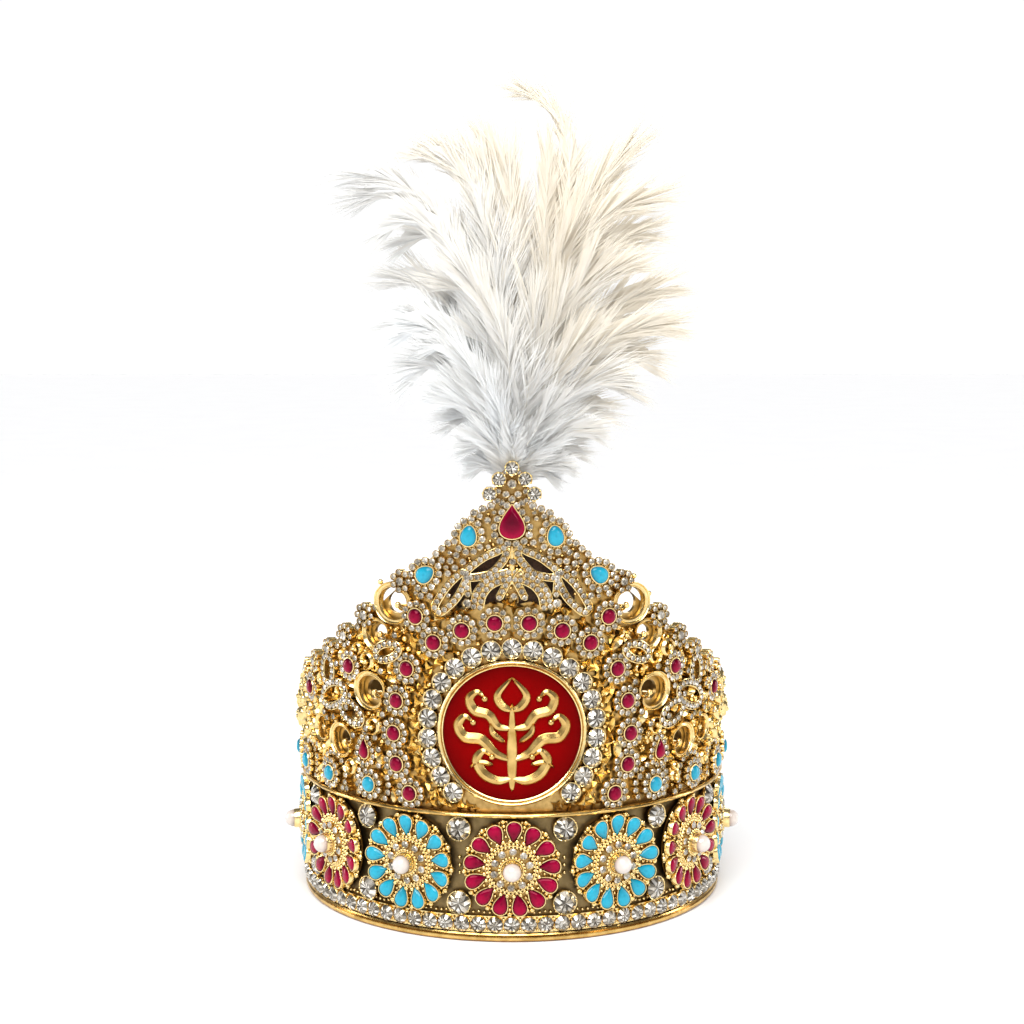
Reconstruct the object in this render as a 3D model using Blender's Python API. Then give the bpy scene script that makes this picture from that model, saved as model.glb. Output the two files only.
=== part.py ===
"""Ceremonial crown: gilded metal with set stones, pearls, an enamel medallion and a plume.

The crown stands on its rim. +Z is up, the front faces -Y, and the origin is in the middle of
the rim's underside. Sizes here are millimetres, and they become metres where meshes are made.

A place on the crown is an angle round it, in degrees from the front towards +X, and a height.
A piece set there is drawn in its own plane: u runs to the right, v up and h straight out.
"""

import bpy
import bmesh
from math import asin, cos, degrees, exp, pi, radians, sin
from mathutils import Matrix, Vector

MM = 0.001
GAP = 0.3                   # air between two pieces that touch
SINK = 0.8                  # how deep a soldered piece goes into what it is soldered to
ROUND_SIDES = 40            # sides of the round walls
STONE_SIDES = 8             # a cut stone has a table and eight crown facets
BEAD_SIDES = 10             # sides of cabochons and small flowers
SMALL_SIDES = 6             # sides of the buds and the small openings in the pierced wall

# The round walls, as radii and heights
SHEET_INNER = 95.0
SHEET_OUTER = 96.8
SEAT = SHEET_OUTER + GAP    # radius at which pieces sit on the walls
RIM_TOP = 3.6
RIM_OUTER = 100.4
ROW_BOTTOM = RIM_TOP + GAP
ROW_TOP = 11.2
BAND_TOP = 56.5
WALL_BOTTOM = BAND_TOP + GAP
BACK_HEIGHT = 104.5

# Height of the pierced wall, from the front round to the back
WALL_CREST = (              # angle, height
    (0, 197), (9, 187.8), (18, 173.6), (27, 160.4), (36, 148), (45, 134), (54, 123.6),
    (63, 115.2), (72, 108), (81, 105.5), (90, BACK_HEIGHT), (180, BACK_HEIGHT),
)

# Row of cut stones over the rim
ROW_STONES = 84
ROW_FACE = 99.4
ROW_TABLE = 101.4

# Rosettes, from the front round to the back; each is also mirrored to the other side
ROSETTE_ANGLES = (0, 27.2, 54.4, 79.5, 104.6, 129.8, 154.9, 180)
ROSETTE_HEIGHT = 33.0
ROSETTE_RADIUS = 21.0
PETALS = 13
PEARL_RADIUS = 4.75
PEARL_CENTRE = 107.0        # distance of a rosette's pearl from the crown's axis

# Cut stones between the rosettes
GAP_STONE_RADIUS = 5.2
GAP_STONE_HEIGHTS = (16.8, 50.0)

# Medallion and the ring of stones round it
MEDALLION_HEIGHT = 93.4
MEDALLION_RADIUS = 32.1
ENAMEL_RADIUS = 28.4
ENAMEL_FACE = 2.2           # height of the enamel over its seat
ENAMEL_RINGS = (11, 20)     # rings of points at these radii let the disc bend to the wall
MEDALLION_SIDES = 24
RING_STONES = 21
RING_RADIUS = 37.1
RING_STEP = 13.7            # degrees from one ring stone to the next
RING_STONE_RADIUS = 4.6     # neighbours touch and are soldered together

# Ruby flowers in an arch round the medallion, right half
ARCH_FLOWERS = (            # angle, height, radius
    (4.25, 141.7, 6.9), (12.5, 138.1, 6.9), (19.9, 132.2, 6.6), (24.8, 143.2, 6.6),
    (27.4, 119.7, 6.9), (30.5, 104.9, 6.9), (31.4, 90.2, 6.7), (30.6, 76.5, 6.7),
    (26.8, 64.1, 5.9),
)
PEAK_FLOWERS = (            # angle, height, radius, lean of the oval stone
    (10.8, 179.3, 8.2, -12), (22.2, 161.8, 8.2, -40),
)
SIDE_FLOWERS = (            # angle, height, radius
    (46.0, 117.4, 7.0), (67.0, 101.7, 6.0),
)
PEAR_STONE = (40.6, 81.3)   # angle, height

# Turquoise flowers low on the wall and ruby flowers near its edge, which go on round the back
TURQUOISE_START = 38.6
TURQUOISE_STEPS = 9
TURQUOISE_HEIGHT = 65.0
RUBY_START = 67.0
RUBY_STEPS = 4
RUBY_HEIGHT = 96.5

# Cast scrolls, each round an opening, right half
SCROLLS = (                 # angle, height, radius, where the scroll's mouth points
    (31.3, 148.0, 8.0, 200), (36.6, 133.7, 6.2, 190), (38.9, 107.6, 7.6, 200),
    (50.4, 82.0, 7.0, 200), (60.6, 84.5, 5.6, 160),
)
BACK_SCROLL_START = 77.8
BACK_SCROLL_STEP = 42.0
BACK_SCROLLS = 2
BACK_SCROLL_HEIGHT = 82.0
BACK_SCROLL_RADIUS = 6.4

# Single cut stones on the wall's upper edge, right half
EDGE_STONES = (             # angle, radius
    (28.9, 2.7), (40.6, 3.2), (48.4, 3.2), (56.0, 2.8), (64.9, 3.0),
)

# Openings behind the leaves, right half, as sideways distance and height
LEAF_OPENING = (
    (2.8, 174.5), (2.8, 149.5), (8.0, 150.5), (15.0, 147.5), (27.0, 146.2), (31.0, 148.5),
    (30.5, 152.0), (27.0, 158.5), (22.5, 163.5), (18.0, 166.5), (12.0, 171.5), (6.0, 174.5),
)
SIDE_OPENINGS = (           # angle, height, half width, half height, right half
    (53.4, 102.2, 3.6, 1.9), (45.8, 96.6, 3.4, 1.7), (56.0, 112.6, 1.8, 3.0),
)

# Leaves of set stones: each is a loop or a stroke through these points, right half
LEAF_WIDTH = 3.2
LEAF_THICKNESS = 2.0
LEAF_LOOPS = (              # sideways distance and height
    ((3.4, 174.2), (6.5, 172.6), (11.2, 170.4), (15.4, 167.4), (18.9, 164.0), (18.3, 161.3),
     (13.8, 161.6), (8.9, 163.2), (5.2, 166.8), (2.4, 171.2)),
    ((20.8, 163.2), (24.4, 160.4), (28.0, 156.2), (31.0, 151.4), (32.8, 147.2), (30.6, 145.4),
     (27.4, 147.8), (23.6, 151.8), (20.8, 156.6), (19.2, 160.9)),
)
LEAF_STROKES = (
    ((1.1, 162.4), (6.0, 161.0), (10.4, 158.4), (13.6, 154.0), (14.8, 148.4)),
    ((1.2, 160.6), (3.4, 156.6), (5.4, 152.6)),
    ((19.4, 162.6), (19.0, 158.0), (18.6, 153.8)),
)

# Gold ornament on the enamel: tapering strokes, right half, as u and v from its middle
ORNAMENT_STROKES = (        # points along the stroke, then its widest width
    (((0, -20), (6, -21), (12, -18), (15, -12), (12, -8), (8.5, -10.5)), 3.4),
    (((0, -12), (7, -9), (13, -3), (20, -2), (23, 3), (20, 7), (16.5, 4.5)), 3.8),
    (((0, 2), (6, 3), (10, 8), (16, 10), (18, 15), (14.5, 18), (11.5, 15)), 3.6),
    (((0, 10), (4, 12), (6, 17), (0, 24.5)), 3.2),
)
ORNAMENT_STEM = ((0, -24), (0, -12), (0, 0), (0, 12))
ORNAMENT_THICKNESS = 1.9

# Plume: a leaning plane, a core of oval sections and locks that curve out of it
PLUME_FOOT = Vector((0.0, -87.0, 200.0))
PLUME_LEAN = 0.15           # how far it leans back for each millimetre of height
PLUME_CORE = (              # height, middle, half width, half depth
    (121, 0, 3.1, 3.1), (200, 0, 3.1, 3.1), (212, 1, 12, 8), (230, 2, 25, 14),
    (255, 4, 37, 20), (285, 4, 43, 23), (312, 0, 42, 21), (334, -2, 32, 16), (346, -4, 16, 9),
)
PLUME_LOCKS = (             # tip sideways, tip height, tip depth, widest width
    (3, 374, 0, 21), (23, 362, 6, 24), (61, 353, -2, 33), (72, 325, 7, 32), (68, 305, -8, 29),
    (77, 286, 4, 32), (80, 264, -4, 31), (67, 243, 5, 28), (50, 227, -5, 22), (34, 212, 3, 15),
    (22, 203, -2, 10), (-22, 361, -4, 26), (-48, 349, 4, 31), (-80, 327, 2, 34),
    (-70, 303, -7, 32), (-63, 286, 5, 32), (-60, 264, -5, 31), (-51, 244, 6, 27),
    (-37, 228, -4, 21), (-20, 209, 1, 12), (2, 326, -35, 34), (30, 292, -35, 34),
    (-28, 296, -35, 34), (4, 324, 35, 34), (-26, 290, 35, 34), (31, 286, 35, 34),
)

SMALL_LOCK = 15             # locks up to this width end in a plain point

# Socket tube behind the peak, and the pad in front of it
SOCKET_RADIUS = 4.7
SOCKET_BORE = 3.5
SOCKET_HEIGHTS = (120.0, 199.0)
PAD_RADII = (SOCKET_RADIUS - PLUME_FOOT.y + GAP, SHEET_INNER * cos(pi / ROUND_SIDES) - GAP)
PAD_HALF_ANGLE = 18
PAD_HEIGHTS = (143.0, 180.0)

LOOKS = {                   # colour, metallic, roughness
    "gold": ((0.83, 0.55, 0.17), 1.0, 0.24),
    "satin_gold": ((0.62, 0.47, 0.25), 1.0, 0.42),
    "crystal": ((0.86, 0.86, 0.84), 0.6, 0.08),
    "ruby": ((0.45, 0.0, 0.08), 0.0, 0.12),
    "turquoise": ((0.05, 0.55, 0.72), 0.0, 0.2),
    "enamel": ((0.42, 0.0, 0.01), 0.0, 0.12),
    "pad": ((0.07, 0.035, 0.02), 0.0, 0.8),
    "feather": ((0.93, 0.90, 0.84), 0.0, 0.7),
}


# Meshes and placing

def clear_scene():
    """Remove every object of the scene the script starts in."""
    for thing in list(bpy.data.objects):
        bpy.data.objects.remove(thing, do_unlink=True)


def look(name):
    """Give the material of that name, made on its first use."""
    if name not in bpy.data.materials:
        colour, metallic, roughness = LOOKS[name]
        material = bpy.data.materials.new(name)
        material.use_nodes = True
        shader = material.node_tree.nodes["Principled BSDF"]
        shader.inputs["Base Color"].default_value = (*colour, 1.0)
        shader.inputs["Metallic"].default_value = metallic
        shader.inputs["Roughness"].default_value = roughness
    return bpy.data.materials[name]


def make(name, shape, look_name, place=None, sharp_angle=30):
    """Make one object from a bmesh in millimetres."""
    bmesh.ops.remove_doubles(shape, verts=shape.verts, dist=0.001)
    bmesh.ops.recalc_face_normals(shape, faces=shape.faces)
    bmesh.ops.scale(shape, vec=(MM, MM, MM), verts=shape.verts)
    mesh = bpy.data.meshes.new(name)
    shape.to_mesh(mesh)
    shape.free()
    mesh.materials.append(look(look_name))
    mesh.shade_smooth()
    mesh.set_sharp_from_angle(angle=radians(sharp_angle))
    thing = bpy.data.objects.new(name, mesh)
    if place is not None:
        thing.matrix_world = place
    bpy.context.scene.collection.objects.link(thing)
    return thing


def on_wall(angle, height, radius=SEAT, roll=0):
    """Plane that touches the crown's round wall: u to the right, v up, h out."""
    turn = radians(angle)
    axes = Matrix((
        (cos(turn), 0, sin(turn)),
        (sin(turn), 0, -cos(turn)),
        (0, 1, 0),
    )).to_4x4()
    spot = Vector((radius * sin(turn), -radius * cos(turn), height)) * MM
    return Matrix.Translation(spot) @ axes @ Matrix.Rotation(radians(roll), 4, "Z")


def round_wall(u, v, h, height=0.0, radius=SEAT):
    """Point of a piece that is bent round the wall, u measured along the curve from the front."""
    turn = u / radius
    return ((radius + h) * sin(turn), -(radius + h) * cos(turn), height + v)


def both_sides(angle):
    """The angle on the right and, unless it is on the crown's middle plane, on the left."""
    return (angle,) if angle in (0, 180) else (angle, -angle)


def turned(profile, sides, phase=0.0):
    """Turn a profile of radius and height round the h axis; a closed profile leaves a bore."""
    shape = bmesh.new()
    start = [shape.verts.new((r * cos(phase), r * sin(phase), h)) for r, h in profile]
    pairs = list(zip(start, start[1:]))
    if profile[0][0] > 0:
        pairs.append((start[-1], start[0]))
    edges = [shape.edges.new(pair) for pair in pairs]
    bmesh.ops.spin(shape, geom=start + edges, cent=(0, 0, 0), axis=(0, 0, 1),
                   angle=2 * pi, steps=sides, use_merge=True)
    return shape


def lofted(rings):
    """Close a stack of rings into one body. The next ring has as many points, half, or one."""
    shape = bmesh.new()
    rows = [[shape.verts.new(point) for point in ring] for ring in rings]
    for lower, upper in zip(rows, rows[1:]):
        count = len(lower)
        for i in range(count):
            j = (i + 1) % count
            if len(upper) == count:
                shape.faces.new((lower[i], lower[j], upper[j], upper[i]))
            elif len(upper) == 1:
                shape.faces.new((lower[i], lower[j], upper[0]))
            elif i % 2 == 0:
                k = i // 2
                after = (k + 1) % len(upper)
                shape.faces.new((lower[i], lower[j], lower[(i + 2) % count],
                                 upper[after], upper[k]))
    shape.faces.new(list(reversed(rows[0])))
    if len(rows[-1]) > 2:
        shape.faces.new(rows[-1])
    return shape


def ring(radius, height, sides, phase=0.0):
    """Round ring of points."""
    steps = [phase + 2 * pi * i / sides for i in range(sides)]
    return [(radius * cos(a), radius * sin(a), height) for a in steps]


def drop_ring(half_width, half_length, height, sides):
    """Ring of points round a drop whose point is up, at +v."""
    points = []
    for i in range(sides):
        a = pi / 2 + 2 * pi * i / sides
        narrow = 1 - 0.55 * max(0.0, sin(a)) ** 2
        points.append((half_width * cos(a) * narrow, half_length * sin(a), height))
    return points


def swept(path, widths, thickness, bend, closed=False, ridge=False):
    """Strip along a path of u and v, then bent in place. Its top is narrower, or a ridge."""
    count = len(path)
    rings = []
    for i, (u, v) in enumerate(path):
        before = path[i - 1] if closed or i > 0 else path[i]
        after = path[(i + 1) % count] if closed or i < count - 1 else path[i]
        along = Vector((after[0] - before[0], after[1] - before[1])).normalized()
        side = Vector((along.y, -along.x))
        half = widths[i] / 2
        corners = ((-half, 0), (half, 0), (half * 0.6, thickness), (-half * 0.6, thickness))
        if ridge:
            corners = ((-half, 0), (half, 0), (0, thickness))
        rings.append([bend(u + side.x * across, v + side.y * across, h)
                      for across, h in corners])
    if closed:
        shape = bmesh.new()
        rows = [[shape.verts.new(point) for point in points] for points in rings]
        for i, row in enumerate(rows):
            following = rows[(i + 1) % count]
            for k in range(len(row)):
                m = (k + 1) % len(row)
                shape.faces.new((row[k], row[m], following[m], following[k]))
        return shape
    return lofted(rings)


def hide_tool(thing):
    """Mark an object that only shapes another one."""
    thing.hide_render = True
    thing.display_type = "WIRE"


def combine(target, tools, operation):
    """Join tools to the target, or cut them out of it."""
    group = bpy.data.collections.new(f"{target.name}_{operation.lower()}")
    for tool in tools:
        hide_tool(tool)
        group.objects.link(tool)
    modifier = target.modifiers.new(operation.title(), "BOOLEAN")
    modifier.operation = operation
    modifier.solver = "EXACT"
    modifier.operand_type = "COLLECTION"
    modifier.collection = group


# Stones and flowers

def cut_stone(radius, depth, foot=0.0):
    """Cut stone: a table and eight facets, on a foot that may reach below h = 0."""
    return lofted([ring(radius, foot, STONE_SIDES), ring(radius * 0.55, depth, STONE_SIDES)])


def flower(radius, stone_radius):
    """Small round flower with a cabochon in its middle."""
    collar = 2.2
    return lofted([
        ring(radius, 0, BEAD_SIDES),
        ring(stone_radius * 1.2, collar, BEAD_SIDES),
        ring(stone_radius * 0.8, collar + 1.7, BEAD_SIDES),
        [(0, 0, collar + 2.3)],
    ])


def bud(radius):
    """Small flower that is soldered to the wall: a low cone to its stone, and the stone's dome."""
    return lofted([ring(radius, -SINK, SMALL_SIDES), ring(3.0, 2.4, SMALL_SIDES), [(0, 0, 4.4)]])


def oval_flower(radius, half_width, half_length):
    """Flower with an oval cabochon."""
    sides = BEAD_SIDES
    collar = 2.2
    oval = [(half_width * cos(2 * pi * i / sides), half_length * sin(2 * pi * i / sides))
            for i in range(sides)]
    return lofted([
        ring(radius, 0, sides),
        [(u * 1.15, v * 1.15, collar) for u, v in oval],
        [(u * 0.8, v * 0.8, collar + 1.8) for u, v in oval],
        [(0, 0, collar + 2.4)],
    ])


def pear_flower(half_width, half_length, edge):
    """Faceted pear stone with a table, on a plate that stands out by edge all round."""
    sides = 12
    return lofted([
        drop_ring(half_width + edge, half_length + edge, 0, sides),
        drop_ring(half_width + edge, half_length + edge, 1.2, sides),
        drop_ring(half_width, half_length, 2.6, sides),
        drop_ring(half_width * 0.55, half_length * 0.55, 4.6, sides),
    ])


def rosette():
    """Thirteen drop-shaped petals round a pearl on a collar, flat at the back."""
    columns = 2 * PETALS
    centre = PEARL_CENTRE - SEAT

    def petal_ring(tip_radius, valley_radius, tip_height, valley_height):
        points = []
        for i in range(columns):
            a = pi / 2 + 2 * pi * i / columns
            tip = i % 2 == 0
            radius = tip_radius if tip else valley_radius
            points.append((radius * cos(a), radius * sin(a), tip_height if tip else valley_height))
        return points

    def pearl_ring(lift):
        radius = PEARL_RADIUS * cos(lift)
        return ring(radius, centre + PEARL_RADIUS * sin(lift), PETALS, pi / 2)

    return lofted([
        petal_ring(ROSETTE_RADIUS, ROSETTE_RADIUS - 1.6, 0, 0),
        petal_ring(17.2, 17.2, 4.2, 1.6),
        ring(4.2, centre - 4.2, PETALS, pi / 2),
        pearl_ring(0),
        pearl_ring(radians(45)),
        [(0, 0, centre + PEARL_RADIUS)],
    ])


# The base

def make_base_rim():
    """Round rim with a flat underside."""
    inner = SHEET_INNER - 0.6
    profile = [(inner, 0), (RIM_OUTER - 0.8, 0), (RIM_OUTER, RIM_TOP * 0.5),
               (RIM_OUTER - 0.8, RIM_TOP), (inner, RIM_TOP)]
    make("base_rim", turned(profile, ROUND_SIDES), "gold")


def make_stone_row():
    """Channel of cut stones: each cell's front is a crown of eight facets with its table."""
    half_step = pi / ROW_STONES
    middle = (ROW_BOTTOM + ROW_TOP) / 2
    half_height = (ROW_TOP - ROW_BOTTOM) / 2
    outline = ((-1, -1), (0, -1), (1, -1), (1, 0), (1, 1), (0, 1), (-1, 1), (-1, 0))
    corners = ((-1, -1), (1, -1), (1, 1), (-1, 1))
    table_angles = [radians(225 + 45 * k) for k in range(8)]
    table_width = ROW_FACE * half_step * 0.6
    shape = bmesh.new()

    def cell_point(turn, across, up, radius):
        """Point on a cell's edge or corner, where it meets the next cell."""
        bearing = turn + across * half_step
        return shape.verts.new((radius * sin(bearing), -radius * cos(bearing),
                                middle + up * half_height))

    for i in range(ROW_STONES):
        turn = 2 * pi * i / ROW_STONES
        girdle = [cell_point(turn, x, y, ROW_FACE) for x, y in outline]
        back = [cell_point(turn, x, y, SEAT) for x, y in corners]
        table = []
        for a in table_angles:
            u, v = table_width * cos(a), half_height * 0.6 * sin(a)
            table.append(shape.verts.new((ROW_TABLE * sin(turn) + u * cos(turn),
                                          -ROW_TABLE * cos(turn) + u * sin(turn), middle + v)))
        for k in range(8):
            m = (k + 1) % 8
            shape.faces.new((girdle[k], girdle[m], table[m], table[k]))
        shape.faces.new(table)
        shape.faces.new((girdle[0], girdle[1], girdle[2], back[1], back[0]))
        shape.faces.new((girdle[4], girdle[5], girdle[6], back[3], back[2]))
        shape.faces.new(back)
    make("stone_row", shape, "crystal")


def make_band():
    """Band behind the rosettes, with the cut stones between them soldered on."""
    profile = [(SHEET_INNER, ROW_BOTTOM), (SHEET_OUTER, ROW_BOTTOM),
               (SHEET_OUTER, BAND_TOP), (SHEET_INNER, BAND_TOP)]
    band = make("band", turned(profile, ROUND_SIDES), "satin_gold")
    stones = []
    for first, second in zip(ROSETTE_ANGLES, ROSETTE_ANGLES[1:]):
        for angle in both_sides((first + second) / 2):
            for height in GAP_STONE_HEIGHTS:
                stone = cut_stone(GAP_STONE_RADIUS, 4.6, foot=-SINK)
                stones.append(make("band_stone", stone, "crystal",
                                   on_wall(angle, height, SHEET_OUTER)))
    combine(band, stones, "UNION")


def make_rosettes():
    """Rosettes round the band, numbered from the front towards +X and then -X."""
    number = 0
    for k, angle in enumerate(ROSETTE_ANGLES):
        stones = "ruby" if k % 2 == 0 else "turquoise"
        for turn in both_sides(angle):
            number += 1
            make(f"rosette_{number:02d}", rosette(), stones, on_wall(turn, ROSETTE_HEIGHT))


def make_band_wire():
    """Wire that closes the band at its top, on a thin web."""
    nose = SEAT + 4.6
    foot = BAND_TOP - 0.2
    profile = [(SEAT, foot), (nose, foot - 0.6), (nose, foot + 1.3), (SEAT, foot + 0.7)]
    make("band_wire", turned(profile, ROUND_SIDES), "gold")


# The pierced wall

def crest(angle):
    """Height of the wall's upper edge at an angle from the front."""
    angle = abs(angle)
    for (a0, z0), (a1, z1) in zip(WALL_CREST, WALL_CREST[1:]):
        if angle <= a1:
            return z0 + (z1 - z0) * (angle - a0) / (a1 - a0)
    return BACK_HEIGHT


def scroll(radius, mouth):
    """C-shaped scroll, open where its mouth points."""
    steps = 4
    path = []
    for i in range(steps + 1):
        a = radians(mouth + 40 + 280 * i / steps)
        path.append((radius * 0.82 * cos(a), radius * 0.82 * sin(a)))
    width = radius * 0.42
    return swept(path, [width] * len(path), 2.8 + SINK, lambda u, v, h: (u, v, h - SINK),
                 ridge=True)


def prism(outline, half_depth=6.0):
    """Straight prism through the wall, from an outline of u and v."""
    return lofted([[(u, v, -half_depth) for u, v in outline],
                   [(u, v, half_depth) for u, v in outline]])


def oval_outline(half_width, half_height):
    """Outline of a small oval opening."""
    turns = [2 * pi * i / SMALL_SIDES for i in range(SMALL_SIDES)]
    return [(half_width * cos(a), half_height * sin(a)) for a in turns]


def all_scrolls():
    """Angle, height, radius and mouth of each scroll, both sides."""
    rows = [(angle, height, radius, mouth) for angle, height, radius, mouth in SCROLLS]
    rows += [(BACK_SCROLL_START + BACK_SCROLL_STEP * k, BACK_SCROLL_HEIGHT,
              BACK_SCROLL_RADIUS, 200) for k in range(BACK_SCROLLS)]
    mirrored = [(-angle, height, radius, 180 - mouth) for angle, height, radius, mouth in rows]
    return rows + mirrored


def garland_places():
    """Places of the flowers that are soldered to the wall: angle, height, and radius."""
    places = []
    step = (180 - TURQUOISE_START) / TURQUOISE_STEPS
    for k in range(TURQUOISE_STEPS + 1):
        for angle in both_sides(TURQUOISE_START + step * k):
            places.append((angle, TURQUOISE_HEIGHT, 5.8))
    step = (180 - RUBY_START) / RUBY_STEPS
    for k in range(1, RUBY_STEPS + 1):
        for angle in both_sides(RUBY_START + step * k):
            places.append((angle, RUBY_HEIGHT, 6.4))
    return places


def make_crown_wall():
    """Wall that rises to the front peak, with its scrolls, garland, edge stones and openings."""
    shape = bmesh.new()
    columns = []
    for i in range(ROUND_SIDES):
        angle = 360 * i / ROUND_SIDES
        top = crest(angle if angle <= 180 else angle - 360)
        direction = Vector((sin(radians(angle)), -cos(radians(angle)), 0))
        corners = ((SHEET_INNER, WALL_BOTTOM), (SHEET_OUTER, WALL_BOTTOM),
                   (SHEET_OUTER, top), (SHEET_INNER, top))
        columns.append([shape.verts.new(direction * r + Vector((0, 0, z))) for r, z in corners])
    for column, following in zip(columns, columns[1:] + columns[:1]):
        for k in range(4):
            m = (k + 1) % 4
            shape.faces.new((column[k], following[k], following[m], column[m]))
    wall = make("crown_wall", shape, "gold")

    reliefs = []
    for angle, height, radius, mouth in all_scrolls():
        reliefs.append(make("wall_scroll", scroll(radius, mouth), "gold",
                            on_wall(angle, height, SHEET_OUTER)))
    for angle, height, radius in garland_places():
        reliefs.append(make("wall_flower", bud(radius), "gold",
                            on_wall(angle, height, SHEET_OUTER)))
    for angle, radius in EDGE_STONES:
        for turn in both_sides(angle):
            reliefs.append(make("wall_stone", cut_stone(radius, 4.0, -SINK), "crystal",
                                on_wall(turn, crest(angle) + 0.8, SHEET_OUTER)))
    combine(wall, reliefs, "UNION")

    openings = []
    for angle, height, radius, _ in all_scrolls():
        outline = oval_outline(radius * 0.6, radius * 0.6)
        openings.append(make("scroll_hole", prism(outline), "gold", on_wall(angle, height)))
    for angle, height, half_width, half_height in SIDE_OPENINGS:
        outline = oval_outline(half_width, half_height)
        for turn in both_sides(angle):
            openings.append(make("side_hole", prism(outline), "gold", on_wall(turn, height)))
    for side in (1, -1):
        outline = [(side * x, z) for x, z in LEAF_OPENING]
        openings.append(make("leaf_hole", prism(outline, 20.0), "gold", on_wall(0, 0)))
    combine(wall, openings, "DIFFERENCE")


# Pieces on the pierced wall

def make_medallion():
    """Enamel disc, its rim, a raised ornament and the stones round it, all bent to the wall."""
    def bend(u, v, h):
        return round_wall(u, v, h, MEDALLION_HEIGHT)

    def bent(shape):
        for vert in shape.verts:
            vert.co = bend(*vert.co)
        return shape

    radii = (0, *ENAMEL_RINGS, ENAMEL_RADIUS)
    profile = [(r, 0) for r in radii] + [(r, ENAMEL_FACE) for r in reversed(radii)]
    make("medallion_enamel", bent(turned(profile, MEDALLION_SIDES)), "enamel")

    inner = ENAMEL_RADIUS + GAP + 0.1
    middle = (inner + MEDALLION_RADIUS) / 2
    rim = turned([(inner, 0), (MEDALLION_RADIUS, 0), (MEDALLION_RADIUS, 2.6),
                  (middle, 4.4), (inner, 3.2)], MEDALLION_SIDES)
    make("medallion_rim", bent(rim), "gold")

    def lift(u, v, h):
        return bend(u, v, h + ENAMEL_FACE + GAP)

    stem = make("medallion_ornament",
                swept(ORNAMENT_STEM, (1.4, 3.2, 3.6, 2.4), ORNAMENT_THICKNESS, lift, ridge=True),
                "gold")
    strokes = []
    for path, widest in ORNAMENT_STROKES:
        last = len(path) - 1
        widths = [widest * (0.45 + 0.55 * sin(pi * i / last)) for i in range(last + 1)]
        for side in (1, -1):
            mirrored = [(side * u, v) for u, v in path]
            thickness = ORNAMENT_THICKNESS * (0.97 if side == 1 else 0.94)
            shape = swept(mirrored, widths, thickness, lift, ridge=True)
            strokes.append(make("stroke", shape, "gold"))
    combine(stem, strokes, "UNION")

    half = (RING_STONES - 1) / 2
    turns = [radians(RING_STEP * (k - half)) for k in range(RING_STONES)]
    stones = []
    for turn in turns:
        u, v = RING_RADIUS * sin(turn), RING_RADIUS * cos(turn)
        place = on_wall(degrees(u / SEAT), MEDALLION_HEIGHT + v, roll=-degrees(turn))
        name = "ring_stone" if stones else "medallion_stones"
        stones.append(make(name, cut_stone(RING_STONE_RADIUS, 3.8), "crystal", place))
    combine(stones[0], stones[1:], "UNION")


def make_flowers():
    """The flowers that are pieces of their own, right one before left one."""
    number = 0
    for angle, height, radius in ARCH_FLOWERS:
        for turn in both_sides(angle):
            number += 1
            make(f"arch_flower_{number:02d}", flower(radius, 3.0), "ruby", on_wall(turn, height))
    number = 0
    for angle, height, radius, lean in PEAK_FLOWERS:
        for side in (1, -1):
            number += 1
            make(f"peak_flower_{number:02d}", oval_flower(radius, 2.8, 4.0), "turquoise",
                 on_wall(side * angle, height, roll=side * lean * -1))
    number = 0
    for angle, height, radius in SIDE_FLOWERS:
        for turn in both_sides(angle):
            number += 1
            make(f"side_flower_{number:02d}", flower(radius, 3.0), "ruby", on_wall(turn, height))
    angle, height = PEAR_STONE
    for side, label in ((1, "right"), (-1, "left")):
        make(f"pear_stone_{label}", pear_flower(2.4, 4.4, 2.0), "ruby",
             on_wall(side * angle, height))


def make_peak():
    """Large pear stone of the peak and the five cut stones over it."""
    make("peak_stone", pear_flower(5.4, 7.2, 2.6), "ruby", on_wall(0, 185.6))
    places = ((0, 208.6), (3.1, 203.4), (-3.1, 203.4), (5.4, 197.4), (-5.4, 197.4))
    plate = lofted([
        [(-10.4, -3.0, 0), (10.4, -3.0, 0), (4.6, 8.0, 0), (-4.6, 8.0, 0)],
        [(-10.4, -3.0, 1.2), (10.4, -3.0, 1.2), (4.6, 8.0, 1.2), (-4.6, 8.0, 1.2)],
    ])
    carrier = make("top_cluster", plate, "crystal", on_wall(0, 199))
    stones = [make("cluster_stone", cut_stone(3.1, 4.0, 0.2), "crystal", on_wall(angle, height))
              for angle, height in places]
    combine(carrier, stones, "UNION")


def make_leaf_spray():
    """Leaves of set stones on a stem, bridging the openings under the peak."""
    def bend(x, z, h):
        return round_wall(SEAT * asin(x / SEAT), z, h)

    stem_path = ((0, 175.4), (0, 168.0), (0, 159.0))
    stem = make("leaf_spray", swept(stem_path, (5.0, 4.4, 4.6), LEAF_THICKNESS + 0.3, bend), "gold")
    leaves = []
    for side in (1, -1):
        for path in LEAF_LOOPS:
            points = [(side * x, z) for x, z in path]
            shape = swept(points, [LEAF_WIDTH] * len(points), LEAF_THICKNESS, bend,
                          closed=True, ridge=True)
            leaves.append(make("leaf_loop", shape, "gold"))
        for path in LEAF_STROKES:
            points = [(side * x, z) for x, z in path]
            shape = swept(points, [LEAF_WIDTH] * len(points), LEAF_THICKNESS * 0.9, bend,
                          ridge=True)
            leaves.append(make("leaf_stroke", shape, "gold"))
    combine(stem, leaves, "UNION")


# The plume and what holds it

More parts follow.
